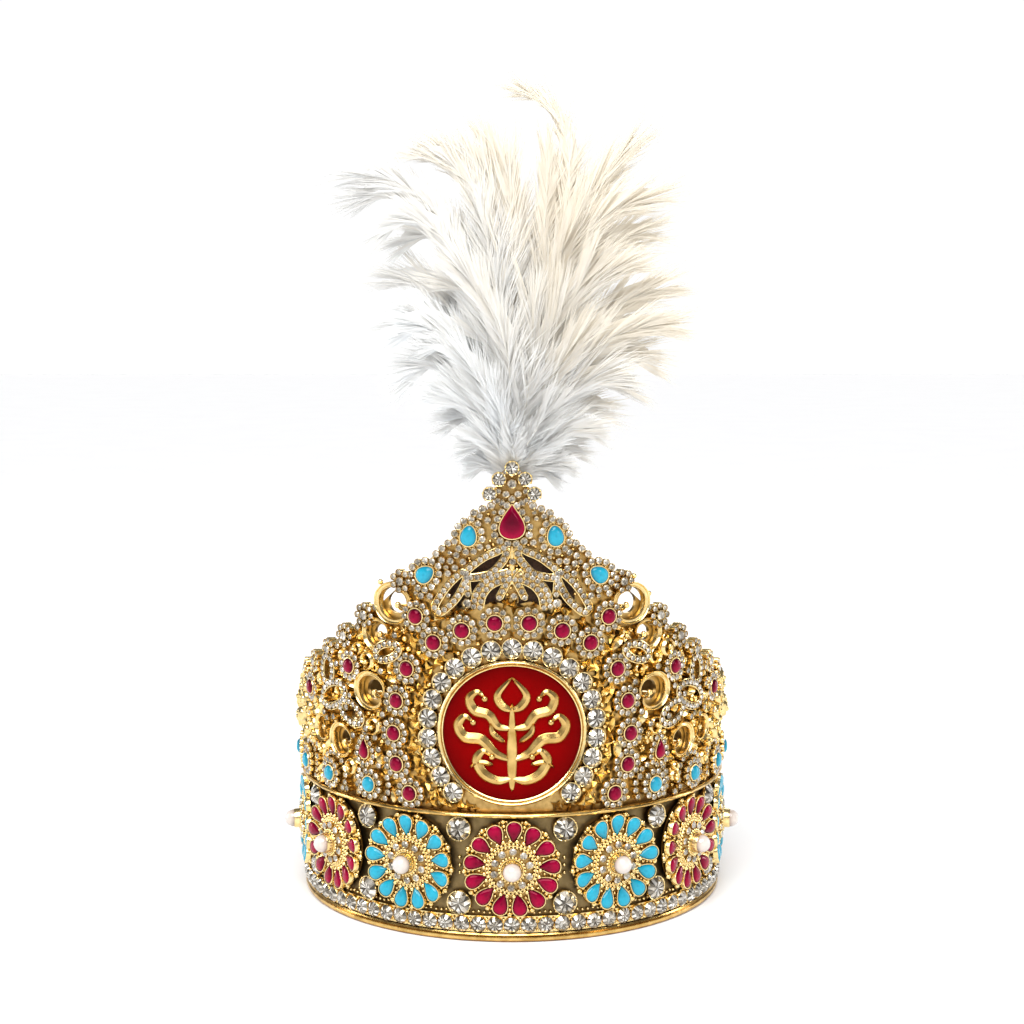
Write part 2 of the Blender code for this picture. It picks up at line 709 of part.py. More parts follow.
def make_socket():
    """Tube behind the peak, and the dark pad between it and the wall."""
    low, high = SOCKET_HEIGHTS
    profile = [(SOCKET_BORE, low), (SOCKET_RADIUS, low), (SOCKET_RADIUS, high), (SOCKET_BORE, high)]
    foot = Matrix.Translation(Vector((PLUME_FOOT.x, PLUME_FOOT.y, 0)) * MM)
    make("plume_socket", turned(profile, BEAD_SIDES), "gold", foot)

    steps = 8
    rings = []
    for i in range(steps + 1):
        turn = radians(PAD_HALF_ANGLE * (2 * i / steps - 1))
        corners = ((PAD_RADII[0], PAD_HEIGHTS[0]), (PAD_RADII[1], PAD_HEIGHTS[0]),
                   (PAD_RADII[1], PAD_HEIGHTS[1]), (PAD_RADII[0], PAD_HEIGHTS[1]))
        rings.append([(r * sin(turn), -r * cos(turn), z) for r, z in corners])
    make("peak_pad", lofted(rings), "pad")


def plume_point(x, height, depth=0.0):
    """Point of the plume's leaning plane, moved in depth."""
    lean = max(0.0, height - PLUME_FOOT.z) * PLUME_LEAN
    return Vector((PLUME_FOOT.x + x, PLUME_FOOT.y + lean + depth, height))


def lock(tip_x, tip_height, tip_depth, width):
    """One lock of the plume: it leaves the core steeply and bends out to its tip."""
    tip = plume_point(tip_x, tip_height, tip_depth)
    reach = (tip_height - PLUME_FOOT.z) / 175
    root = plume_point(tip_x * 0.16, PLUME_FOOT.z + 22 + 40 * reach, tip_depth * 0.2)
    bend_height = root.z + (tip_height - root.z) * 0.8 + 10 * exp(-3 * reach)
    bend = plume_point(tip_x * 0.55, bend_height, tip_depth * 0.7)
    rings = []
    sections = ((0.0, 0.7), (0.35, 1.0), (0.7, 0.82), (0.92, 0.36))
    for t, fullness in sections if width > SMALL_LOCK else sections[:3]:
        middle = root * (1 - t) ** 2 + bend * 2 * t * (1 - t) + tip * t ** 2
        along = ((bend - root) * (1 - t) + (tip - bend) * t).normalized()
        across = along.cross(Vector((0, 1, 0))).normalized()
        front = across.cross(along)
        half = width / 2 * fullness
        rings.append([middle + across * half, middle + front * half * 0.5,
                      middle - across * half, middle - front * half * 0.5])
    rings.append([tip])
    return lofted(rings)


def make_plume():
    """Plume as one body: a core with locks, its stem in the socket."""
    rings = []
    for height, middle, half_width, half_depth in PLUME_CORE:
        centre = plume_point(middle, height)
        turns = [2 * pi * i / STONE_SIDES for i in range(STONE_SIDES)]
        rings.append([(centre.x + half_width * cos(a), centre.y + half_depth * sin(a), centre.z)
                      for a in turns])
    plume = make("plume", lofted(rings), "feather", sharp_angle=60)
    locks = [make("lock", lock(*row), "feather") for row in PLUME_LOCKS]
    combine(plume, locks, "UNION")


clear_scene()
make_base_rim()
make_stone_row()
make_band()
make_rosettes()
make_band_wire()
make_crown_wall()
make_medallion()
make_flowers()
make_peak()
make_leaf_spray()
make_socket()
make_plume()
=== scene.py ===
"""Ceremonial crown: the finish of its gold, stones, pearls, enamel and plume.

Sizes here are millimetres, and they become metres where meshes are made. A place on the crown is
an angle round it, in degrees from the front towards +X, and a height. Ornament is drawn in its own
plane, u to the right, v up and h out; on the round wall, u is measured along the curve.
"""

from math import asin, atan2, cos, degrees, pi, radians, sin

import bpy
import numpy as np
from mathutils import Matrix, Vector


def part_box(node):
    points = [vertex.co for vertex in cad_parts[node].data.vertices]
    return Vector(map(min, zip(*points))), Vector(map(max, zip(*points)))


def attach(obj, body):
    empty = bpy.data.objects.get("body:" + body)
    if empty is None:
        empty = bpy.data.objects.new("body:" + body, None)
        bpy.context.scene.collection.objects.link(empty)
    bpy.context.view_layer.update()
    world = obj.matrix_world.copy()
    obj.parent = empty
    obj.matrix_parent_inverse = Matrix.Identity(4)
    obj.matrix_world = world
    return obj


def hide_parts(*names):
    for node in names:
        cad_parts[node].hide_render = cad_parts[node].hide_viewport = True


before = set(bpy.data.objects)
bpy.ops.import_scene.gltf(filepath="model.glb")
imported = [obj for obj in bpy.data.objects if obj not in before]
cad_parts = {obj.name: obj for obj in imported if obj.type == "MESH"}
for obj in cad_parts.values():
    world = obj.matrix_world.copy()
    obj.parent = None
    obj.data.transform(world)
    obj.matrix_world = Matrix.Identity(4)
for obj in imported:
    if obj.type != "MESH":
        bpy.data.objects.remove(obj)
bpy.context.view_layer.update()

MM = 0.001
rng = np.random.default_rng(7)

# Round walls, as in the frame: radii and heights
SHEET_INNER = 95.0
SHEET_OUTER = 96.8
SEAT = 97.1
RIM_INNER = 94.4
RIM_OUTER = 100.4
RIM_TOP = 3.6
ROW_BOTTOM = 3.9
ROW_TOP = 11.2
ROW_FACE = 99.4
ROW_STONES = 84
WALL_SIDES = 160            # flat sides of each turned wall
BAND_TOP = 56.5
WALL_BOTTOM = 56.8
WALL_CREST = (              # angle, height of the pierced wall's upper edge
    (0, 197), (9, 187.8), (18, 173.6), (27, 160.4), (36, 148), (45, 134), (54, 123.6),
    (63, 115.2), (72, 108), (81, 105.5), (90, 104.5), (180, 104.5),
)

# Rosettes and the cut stones between them
ROSETTE_RADIUS = 21.9
ROSETTE_ANGLES = (0, 27.2, 54.4, 79.5, 104.6, 129.8, 154.9, 180)
PETALS = 13
ROSETTE_BEADS = (           # count, radius, height, size, first one as a part of a petal's step
    (PETALS, 21.0, 1.0, 1.35, 0.5), (PETALS, 18.9, 1.3, 1.0, 0.5), (PETALS, 17.1, 1.5, 0.7, 0.5),
    (PETALS, 20.6, 0.9, 0.8, 0.33), (PETALS, 20.6, 0.9, 0.8, 0.67), (PETALS, 14.4, 2.3, 0.75, 0.5),
    (26, 12.4, 2.8, 1.15, 0.25), (39, 11.0, 3.1, 0.85, 0), (36, 9.75, 3.8, 0.7, 0),
    (24, 5.7, 5.3, 0.72, 0),
)
ROSETTE_WIRES = (           # radius, height, thickness
    (10.35, 3.9, 0.36), (5.0, 5.9, 0.4), (11.7, 3.3, 0.3),
)
GAP_STONE_RADIUS = 5.2
GAP_STONE_HEIGHTS = (16.8, 50.0)

# Medallion
MEDALLION_HEIGHT = 93.4
ENAMEL_RADIUS = 29.5
ENAMEL_FACE = 2.2
MEDALLION_RADIUS = 32.4
RING_STONES = 21
RING_RADIUS = 37.1
RING_STEP = 13.7
ORNAMENT_STROKES = (        # points along a stroke from the middle plane, widest width
    (((0, -20), (6, -21), (12, -18), (15, -12), (12, -8), (8.5, -10.5)), 4.4),
    (((0, -12), (7, -9), (13, -3), (20, -2), (23, 3), (20, 7), (16.5, 4.5)), 4.8),
    (((0, 2), (6, 3), (10, 8), (16, 10), (18, 15), (14.5, 18), (11.5, 15)), 4.4),
    (((0, 10), (4, 12), (6, 17), (0, 24.5)), 3.8),
    (((3, -4), (8, 0), (9, 4.5)), 2.8),
    (((8, -14), (13.5, -13), (18, -15.5)), 2.6),
)
ORNAMENT_STEM = ((0, -25.5), (0, -12), (0, 0), (0, 13))

# Garlands on the pierced wall
TURQUOISE_START = 38.6
TURQUOISE_STEPS = 9
TURQUOISE_HEIGHT = 65.0
RUBY_START = 67.0
RUBY_STEPS = 4
RUBY_HEIGHT = 96.5
SCROLLS = (                 # angle, height, radius, where the scroll's mouth points
    (31.3, 148.0, 8.0, 200), (36.6, 133.7, 6.2, 190), (38.9, 107.6, 7.6, 200),
    (50.4, 82.0, 7.0, 200), (60.6, 84.5, 5.6, 160), (77.8, 82.0, 6.4, 200),
    (119.8, 82.0, 6.4, 200),
)
EDGE_STONES = (             # angle, radius of the middle stone
    (28.9, 2.5), (40.6, 2.9), (48.4, 2.9), (56.0, 2.6), (64.9, 2.8), (74.0, 2.4),
)
EDGE_END = 76.0             # angle where the edge's stones end and its beads start
SIDE_OPENINGS = (           # angle, height, half width, half height
    (53.4, 102.2, 3.6, 1.9), (45.8, 96.6, 3.4, 1.7), (56.0, 112.6, 1.8, 3.0),
)
LEAF_OPENING = (            # sideways distance, height
    (2.8, 174.5), (2.8, 149.5), (8.0, 150.5), (15.0, 147.5), (24.5, 147.0), (27.0, 149.0),
    (27.2, 152.0), (26.0, 158.5), (22.5, 163.5), (18.0, 166.5), (12.0, 171.5), (6.0, 174.5),
)
LEAF_LOOPS = (              # sideways distance, height
    ((3.4, 174.2), (6.5, 172.6), (11.2, 170.4), (15.4, 167.4), (18.9, 164.0), (18.3, 161.3),
     (13.8, 161.6), (8.9, 163.2), (5.2, 166.8), (2.4, 171.2)),
    ((20.8, 163.2), (24.4, 160.4), (28.0, 156.2), (31.0, 151.4), (32.8, 147.2), (30.6, 145.4),
     (27.4, 147.8), (23.6, 151.8), (20.8, 156.6), (19.2, 160.9)),
)
LEAF_STROKES = (            # points as above, rows of stones
    (((1.1, 162.4), (6.0, 161.0), (10.4, 158.4), (13.6, 154.0), (14.8, 148.4)), 2),
    (((1.2, 160.6), (3.4, 156.6), (5.4, 152.6)), 1),
    (((19.4, 162.6), (19.0, 158.0), (18.6, 153.8)), 1),
)
LEAF_LOW = 145              # heights that the openings behind the leaves keep within
LEAF_HIGH = 176
LEAF_INNER = 2.8            # half of the strip between the two openings
PAVE_RINGS = (              # angle, height, half length, half width, tilt
    (53.3, 102.4, 10.0, 5.2, -22), (45.6, 96.4, 7.6, 4.2, 24), (56.0, 113.0, 4.4, 6.4, 0),
    (33.0, 126.5, 6.4, 3.4, -20),
)

# Plume, in its leaning plane: feathers by the way that they face, as tip sideways, tip height,
# depth, heading, handle and barb length
PLUME_FOOT = np.array((0.0, -87.0, 200.0))
PLUME_LEAN = 0.15
PLUME_FEATHERS = {
    0: (
        (-3, 374, 2, 158, 0.28, 17), (14, 356, -3, 94, 0.3, 20), (28, 350, 4, 70, 0.3, 28),
        (-2, 352, -5, 92, 0.3, 28), (-15, 361, 3, 112, 0.3, 26), (-28, 355, -3, 126, 0.3, 26),
        (-40, 349, 4, 148, 0.28, 24), (-49, 343, -2, 172, 0.25, 22), (-83, 331, 0, 186, 0.35, 24),
        (-76, 321, 5, 196, 0.35, 22), (-62, 306, -6, 206, 0.3, 20), (-53, 301, 4, 205, 0.28, 20),
        (-61, 288, 9, 180, 0.35, 24), (-59, 270, 5, 188, 0.35, 24), (-56, 262, -5, 200, 0.35, 23),
        (-49, 242, 4, 215, 0.35, 22), (-38, 238, -6, 190, 0.35, 20), (-30, 226, 4, 195, 0.35, 18),
        (-22, 215, -2, 195, 0.35, 15), (-18, 205, 3, 205, 0.35, 12), (61, 354, 0, 42, 0.3, 26),
        (50, 344, 6, 50, 0.3, 28), (71, 327, -3, 16, 0.35, 28), (69, 311, 5, 12, 0.35, 26),
        (58, 299, -6, 25, 0.3, 26), (76, 289, 3, 18, 0.35, 26), (77, 268, -2, 0, 0.35, 24),
        (66, 251, 4, -15, 0.35, 24), (56, 241, -5, -15, 0.35, 22), (44, 231, 3, -10, 0.35, 20),
        (38, 223, -3, -5, 0.35, 18), (31, 214, 3, -8, 0.35, 16), (25, 208, -3, -10, 0.35, 13),
        (19, 202, 2, -30, 0.35, 11), (5, 292, -24, 100, 0.3, 24), (-4, 314, -12, 95, 0.3, 26),
        (8, 262, -28, 88, 0.3, 20), (0, 232, -20, 92, 0.3, 14), (-40, 262, -8, 175, 0.3, 22),
        (-32, 238, -10, 165, 0.3, 20), (-18, 224, -12, 150, 0.3, 16), (20, 224, -12, 40, 0.3, 16),
        (-34, 290, -8, 160, 0.3, 24), (-20, 270, -16, 140, 0.3, 22),
    ),
    35: (
        (23, 294, -22, 75, 0.3, 24), (39, 307, -14, 60, 0.3, 26), (35, 275, -22, 50, 0.3, 24),
        (20, 245, -24, 60, 0.3, 18), (30, 328, -8, 70, 0.3, 26),
    ),
    -35: (
        (-14, 284, -26, 125, 0.3, 22), (-30, 300, -14, 140, 0.3, 26),
        (-28, 262, -20, 140, 0.3, 22), (-10, 250, -24, 110, 0.3, 18),
        (-18, 330, -8, 110, 0.3, 26),
    ),
    180: (
        (36, 318, 18, 130, 0.3, 28), (-34, 315, 18, 45, 0.3, 28), (34, 275, 28, 150, 0.3, 24),
        (-30, 275, 28, 30, 0.3, 24), (0, 290, 32, 90, 0.3, 26), (0, 328, 18, 90, 0.3, 28),
        (18, 244, 24, 140, 0.3, 18), (-18, 244, 24, 40, 0.3, 18),
    ),
    90: (
        (22, 322, 4, 90, 0.3, 26), (28, 290, 24, 50, 0.3, 24), (28, 282, 4, 90, 0.3, 24),
        (24, 258, 22, 40, 0.3, 22), (22, 250, 4, 90, 0.3, 20), (16, 230, 12, 45, 0.3, 16),
    ),
    -90: (
        (-24, 322, 4, 90, 0.3, 26), (-26, 290, 24, 130, 0.3, 24), (-26, 282, 4, 90, 0.3, 24),
        (-24, 258, 22, 140, 0.3, 22), (-22, 250, 4, 90, 0.3, 20), (-14, 230, 12, 135, 0.3, 16),
    ),
}
BARBS_PER_FEATHER = 640
BARB_CLUMPS = 26
BARB_STEPS = 4
VANE_REACH = 0.6            # part of a barb's length that the soft vane under it covers

# Light and camera, in metres, degrees and watts; the camera's dip is in radians
SKY = (                     # height, colour
    (0.0, (1.0, 1.0, 1.0)), (0.17, (1.0, 1.0, 1.0)), (0.26, (0.30, 0.30, 0.31)),
    (0.6, (0.12, 0.12, 0.13)), (1.0, (0.30, 0.30, 0.31)),
)
SKY_STRENGTH = 1.02
SUN_STRENGTH = 3.3
SUN_WIDTH = 48
SUN_TILT = 35
SUN_TURN = -8
LIGHT_TARGET = (0, 0, 0.12)
SOFT_BOXES = (              # name, place, width and height, power
    ("key", (-0.6, -1.2, 0.95), (0.13, 0.13), 2.8),
    ("fill", (1.0, -0.95, 0.6), (0.10, 0.26), 1.6),
    ("left_strip", (-1.2, 0.2, 0.35), (0.12, 0.8), 3.0),
    ("right_strip", (1.2, 0.3, 0.4), (0.12, 0.8), 3.0),
    ("back", (0.2, 1.3, 0.8), (0.6, 0.3), 3.0),
)
CAMERA_PLACE = (0, -0.9, 0.281)
CAMERA_LENS = 66.34
CAMERA_DIP = 0.1135


# Colours and materials

MIX_COLOURS = (6, 7)        # the colour sockets of a Mix node, whose names occur more than once
MIX_RESULT = 2

def ramp(tree, factor, stops):
    """Colour ramp fed by factor; stops are positions with colours."""
    node = tree.nodes.new("ShaderNodeValToRGB")
    while len(node.color_ramp.elements) < len(stops):
        node.color_ramp.elements.new(0.5)
    for element, (position, colour) in zip(node.color_ramp.elements, stops):
        element.position = position
        element.color = (*colour, 1.0)
    tree.links.new(factor, node.inputs["Fac"])
    return node.outputs["Color"]


def noise(tree, size, detail=3.0):
    """Noise over the object's own coordinates; size is that of its blotches in millimetres."""
    place = tree.nodes.new("ShaderNodeTexCoord")
    node = tree.nodes.new("ShaderNodeTexNoise")
    node.inputs["Scale"].default_value = 1.0 / (size * MM)
    node.inputs["Detail"].default_value = detail
    tree.links.new(place.outputs["Object"], node.inputs["Vector"])
    return node.outputs["Fac"]


def tone(tree):
    """The tone that each point of a mesh carries; on stones, pearls, enamel and crystals it holds
    painted light and shade.
    """
    node = tree.nodes.new("ShaderNodeAttribute")
    node.attribute_name = "tone"
    return node.outputs["Fac"]


def map_range(tree, value, low, high):
    """Spread a value of 0 to 1 over a range."""
    node = tree.nodes.new("ShaderNodeMapRange")
    node.inputs["To Min"].default_value = low
    node.inputs["To Max"].default_value = high
    tree.links.new(value, node.inputs["Value"])
    return node.outputs["Result"]


def multiply(tree, first, second):
    """Darken one colour by another."""
    node = tree.nodes.new("ShaderNodeMix")
    node.data_type = "RGBA"
    node.blend_type = "MULTIPLY"
    node.inputs["Factor"].default_value = 1.0
    for colour, socket in zip((first, second), MIX_COLOURS):
        tree.links.new(colour, node.inputs[socket])
    return node.outputs[MIX_RESULT]


def painted_crevice_shade(tree, reach, dark):
    """Painted shade: white in the open and dark in each crevice, from ambient occlusion."""
    node = tree.nodes.new("ShaderNodeAmbientOcclusion")
    node.samples = 4
    node.inputs["Distance"].default_value = reach * MM
    return ramp(tree, node.outputs["AO"], ((0.25, dark), (0.8, (1, 1, 1))))


def bump(tree, shader, height, depth):
    """Bump of a depth in millimetres."""
    node = tree.nodes.new("ShaderNodeBump")
    node.inputs["Strength"].default_value = 0.5
    node.inputs["Distance"].default_value = depth * MM
    tree.links.new(height, node.inputs["Height"])
    tree.links.new(node.outputs["Normal"], shader.inputs["Normal"])


def new_material(name, **values):
    """Material with a Principled shader, whose plain values are set on its own sockets."""
    material = bpy.data.materials.new(name)
    material.use_nodes = True
    tree = material.node_tree
    shader = tree.nodes["Principled BSDF"]
    for socket, value in values.items():
        shader.inputs[socket.replace("_", " ")].default_value = value
    return material, tree, shader


def metal(name, dark, light, rough, blotch, dent, reach, crevice):
    """Gilded metal: mottled colour and gloss, a fine grain, and painted crevice shade."""
    material, tree, shader = new_material(name, Metallic=1.0)
    mottle = noise(tree, blotch)
    colour = ramp(tree, mottle, ((0.3, dark), (0.7, light)))
    # Painted shade: the mottled colour is darkened by ambient occlusion where the metal lies deep.
    colour = multiply(tree, colour, painted_crevice_shade(tree, reach, crevice))
    tree.links.new(colour, shader.inputs["Base Color"])
    tree.links.new(map_range(tree, noise(tree, blotch * 0.6), *rough), shader.inputs["Roughness"])
    bump(tree, shader, noise(tree, blotch * 0.35, 5.0), dent)
    return material


def stone(name, stops, rough, coat, mottle_size, level, tint):
    """Polished stone, whose colour runs with its tone, which holds painted light and shade, and
    with a fine mottle.
    """
    material, tree, shader = new_material(name, Coat_Weight=coat, Coat_Roughness=0.04,
                                          Specular_IOR_Level=level, Specular_Tint=(*tint, 1.0))
    colour = ramp(tree, tone(tree), stops)
    mottle = ramp(tree, noise(tree, mottle_size), ((0.3, (0.86, 0.86, 0.86)), (0.7, (1, 1, 1))))
    tree.links.new(multiply(tree, colour, mottle), shader.inputs["Base Color"])
    tree.links.new(map_range(tree, noise(tree, mottle_size * 2), *rough),
                   shader.inputs["Roughness"])
    return material


METALS = (      # kind, name, dark, light, roughness, blotch, dent, painted crevice shade's reach and colour
    ("gold", "gold", (0.80, 0.575, 0.23), (0.98, 0.79, 0.39), (0.12, 0.26), 2.2, 0.10, 0.9,
     (0.46, 0.33, 0.14)),
    ("deep", "deep_gold", (0.50, 0.31, 0.09), (0.80, 0.55, 0.20), (0.14, 0.28), 5.0, 0.08, 2.0,
     (0.40, 0.22, 0.07)),
    ("satin", "satin_gold", (0.80, 0.56, 0.22), (0.96, 0.72, 0.35), (0.24, 0.38), 3.0, 0.08, 3.0,
     (0.20, 0.10, 0.035)),
    # Darker copy of the satin gold for the band's wall: painted shade.
    ("painted_shade_satin", "painted_shade_satin_gold", (0.17, 0.12, 0.052), (0.26, 0.185, 0.085), (0.34, 0.5), 4.0, 0.05, 4.0,
     (0.30, 0.19, 0.09)),
    # Darker copy of the satin gold for the wall's sheet and the plates behind ornament: painted
    # shade.
    ("painted_shade_ground", "painted_shade_ground_gold", (0.36, 0.22, 0.07), (0.62, 0.41, 0.15), (0.25, 0.4), 3.0, 0.1, 2.0,
     (0.16, 0.08, 0.02)),
)
STONES = (                  # name, colours by tone (painted light and shade), roughness, coat, mottle, specular and tint
    ("ruby", ((0.0, (0.04, 0.0, 0.005)), (0.45, (0.20, 0.0, 0.021)), (1.0, (0.46, 0.0, 0.046))),
     (0.03, 0.08), 0.0, 1.4, 0.45, (1.0, 0.25, 0.35)),
    ("turquoise", ((0.0, (0.005, 0.20, 0.31)), (0.5, (0.012, 0.36, 0.52)),
                   (1.0, (0.018, 0.43, 0.61))), (0.10, 0.18), 0.2, 1.2, 0.4, (0.8, 1, 1)),
    ("pearl", ((0.0, (0.42, 0.29, 0.22)), (0.6, (0.72, 0.62, 0.55)), (1.0, (0.76, 0.69, 0.64))),
     (0.12, 0.2), 0.8, 2.5, 0.5, (1, 1, 1)),
    ("enamel", ((0.0, (0.07, 0.0, 0.001)), (1.0, (0.25, 0.0, 0.001))), (0.16, 0.26), 0.0, 6.0,
     0.25, (1.0, 0.1, 0.06)),
)


def make_materials():
    """All materials, by the kind of surface."""
    made = {kind: metal(*row) for kind, *row in METALS}
    made.update((row[0], stone(*row)) for row in STONES)
    made["crystal"], tree, shader = new_material("crystal", Metallic=0.6, Coat_Weight=0.5,
                                                 Coat_Roughness=0.02)
    # Painted reflections: the facets' tones run from near black to white.
    painted_facet_reflection = ramp(tree, tone(tree), ((0.0, (0.03, 0.025, 0.018)), (0.3, (0.23, 0.20, 0.155)),
                                    (0.65, (0.49, 0.445, 0.37)), (1.0, (0.93, 0.905, 0.85))))
    tree.links.new(painted_facet_reflection, shader.inputs["Base Color"])
    tree.links.new(map_range(tree, noise(tree, 1.5), 0.02, 0.10), shader.inputs["Roughness"])
    made["pad"], tree, shader = new_material("pad", Sheen_Weight=0.4, Roughness=0.85)
    colour = ramp(tree, noise(tree, 0.9), ((0.3, (0.035, 0.016, 0.008)),
                                           (0.7, (0.10, 0.05, 0.028))))
    tree.links.new(colour, shader.inputs["Base Color"])
    bump(tree, shader, noise(tree, 0.5, 4.0), 0.3)
    made["feather"], tree, shader = new_material("feather", Roughness=0.75, Sheen_Weight=0.35,
                                                 Sheen_Roughness=0.5)
    colour = ramp(tree, tone(tree), ((0.0, (0.92, 0.945, 0.96)), (0.45, (0.83, 0.82, 0.79)),
                                     (1.0, (0.88, 0.81, 0.68))))
    soft = ramp(tree, noise(tree, 6.0), ((0.3, (0.96, 0.96, 0.96)), (0.7, (1, 1, 1))))
    tree.links.new(multiply(tree, colour, soft), shader.inputs["Base Color"])
    return made


SLOTS = {"gold": "gold", "deep": "gold", "satin": "satin_gold", "painted_shade_satin": "satin_gold",
         "painted_shade_ground": "satin_gold", "crystal": "crystal", "ruby": "ruby", "turquoise": "turquoise",
         "pearl": "pearl", "enamel": "enamel", "pad": "pad", "feather": "feather"}


# Meshes

STILL = np.eye(4)           # the place that moves nothing
CREASE = 42                 # angle from which an edge of a smooth mesh is sharp
SHEET_CREASE = 35


class Shape:
    """A growing mesh: points in millimetres, their tones, and faces of three or four points."""

    def __init__(self):
        self.points = []
        self.tones = []
        self.faces = {3: [], 4: []}
        self.count = 0

    def add(self, points, faces, tones=0.5):
        """Add points and faces; a face is a row of point numbers."""
        points = np.asarray(points, float).reshape(-1, 3)
        self.points.append(points)
        self.tones.append(np.broadcast_to(np.asarray(tones, float), len(points)))
        for rows in faces:
            rows = np.asarray(rows, int)
            if rows.size:
                self.faces[rows.shape[1]].append(rows + self.count)
        self.count += len(points)
        return self

    def arrays(self):
        """All points, tones, triangles and quads as arrays."""
        join = {n: np.concatenate(rows) if rows else np.zeros((0, n), int)
                for n, rows in self.faces.items()}
        return np.concatenate(self.points), np.concatenate(self.tones), join[3], join[4]

    def stamp(self, other, place=STILL, tone=0.0):
        """Add a copy of another shape at a place."""
        points, tones, triangles, quads = other
        moved = points @ place[:3, :3].T + place[:3, 3]
        self.add(moved, (triangles, quads), tones + tone)


class Jewel(dict):
    """Shapes by the kind of surface."""

    def __missing__(self, kind):
        self[kind] = Shape()
        return self[kind]

    def frozen(self):
        """The same as arrays, to be stamped many times."""
        return {kind: shape.arrays() for kind, shape in self.items()}

    def stamp(self, frozen, place, tone=0.0):
        """Add a copy of another jewel at a place."""
        for kind, arrays in frozen.items():
            self[kind].stamp(arrays, place, tone)


def skin(rows, around=True, along=False):
    """Quads over a grid of points; around joins its last column to its first."""
    rows = np.asarray(rows, float)
    index = np.arange(rows.shape[0] * rows.shape[1]).reshape(rows.shape[:2])
    right = np.roll(index, -1, axis=1)
    above = np.roll(index, -1, axis=0)
    corner = np.roll(right, -1, axis=0)
    last_row = None if along else -1
    last_column = None if around else -1
    quads = np.stack([part[:last_row, :last_column] for part in (index, right, corner, above)], -1)
    return rows.reshape(-1, 3), quads.reshape(-1, 4)


def fan(first, count, tip):
    """Triangles from a ring of points, numbered on from first, to a tip."""
    columns = np.arange(count)
    return np.stack([first + columns, first + (columns + 1) % count, np.full(count, tip)], -1)


def turned(profile, sides):
    """Profile of radius and height, turned round the h axis; a radius of 0 closes it."""
    turns = 2 * pi * np.arange(sides) / sides
    rows = [np.stack([r * np.cos(turns), r * np.sin(turns), np.full(sides, h)], -1)
            for r, h in profile if r > 0]
    points, quads = skin(rows)
    if profile[-1][0] > 0:
        return Shape().add(points, (quads,)).arrays()
    tip = len(points)
    points = np.vstack([points, (0, 0, profile[-1][1])])
    return Shape().add(points, (quads, fan(tip - sides, sides, tip))).arrays()


def outline(kind, half_width, half_length, count):
    """Points round an oval, an egg, or a drop whose point is up."""
    turns = 2 * pi * np.arange(count) / count
    if kind == "drop":
        across = -np.sin(turns) * np.abs(np.sin(turns / 2)) ** 1.35
        return np.stack([half_width * across / across.max(), half_length * np.cos(turns)], -1)
    narrow = 1 - 0.2 * np.cos(turns) if kind == "egg" else 1
    return np.stack([-half_width * np.sin(turns) * narrow, half_length * np.cos(turns)], -1)


def grown(loop, distance):
    """Outline moved outwards by a distance."""
    along = np.roll(loop, -1, axis=0) - np.roll(loop, 1, axis=0)
    along /= np.linalg.norm(along, axis=1)[:, None]
    return loop + distance * np.stack([along[:, 1], -along[:, 0]], -1)


CABOCHON = ((1, 0), (0.93, 0.42), (0.76, 0.74), (0.5, 0.93), (0.24, 1))     # scale, part of height
PLATE = ((1, 0), (0.98, 0.8), (0.5, 1))


def dome(loop, height, base=0.0, steps=CABOCHON):
    """Cabochon over an outline, with painted light and shade in its tones: a painted glow low
    down, where light would come through, and painted shade round its edge.
    """
    rows = []
    tones = []
    low = loop[:, 1].min()
    span = np.ptp(loop[:, 1])
    for scale, rise in steps:
        rows.append(np.column_stack([loop * scale, np.full(len(loop), base + height * rise)]))
        depth = 1 - (loop[:, 1] * scale - low) / span
        # Painted light rising towards the bottom, painted shade in the outer rings.
        tones.append(0.34 + 0.66 * depth ** 2 - 0.3 * (scale > 0.9) - 0.14 * (scale > 0.7))
    points, quads = skin(rows)
    tip = len(points)
    points = np.vstack([points, (0, 0, base + height)])
    faces = (quads, fan(tip - len(loop), len(loop), tip))
    return Shape().add(points, faces, np.append(np.concatenate(tones), 0.3)).arrays()


def collar(loop, width, low, high):
    """Bezel round an outline: a wall with a rounded lip that leans on the stone."""
    lip = ((width, 0.0), (width, 0.88), (width * 0.8, 0.98), (0.0, 1.0), (-0.1, 0.9))
    rows = [np.column_stack([grown(loop, out), np.full(len(loop), low + (high - low) * rise)])
            for out, rise in lip]
    points, quads = skin(rows)
    return Shape().add(points, (quads,)).arrays()


def grain(radius, sides=7):
    """Gold grain, a low round bead."""
    return turned(((radius * 0.9, 0), (radius, radius * 0.5), (radius * 0.72, radius * 1.15),
                   (0, radius * 1.5)), sides)


def ball(radius):
    """Round ball, whose tone falls from its front to its sides: painted shade at its edges."""
    sides = 28
    lifts = np.linspace(-0.42 * pi, 0.42 * pi, sides // 2)
    rings = [(radius * cos(a), radius * sin(a)) for a in lifts]
    points, _, triangles, quads = turned([*rings, (0, radius)], sides)
    return points, np.clip(points[:, 2] / radius, 0, 1) ** 0.6, triangles, quads


def facets(points, faces, tones):
    """Separate facets, each with one tone of painted light: the light that comes back through it.
    """
    points = np.asarray(points, float)
    shape = Shape()
    for face, shade in zip(faces, tones):
        shape.add(points[list(face)], ([range(len(face))],), shade)
    return shape.arrays()


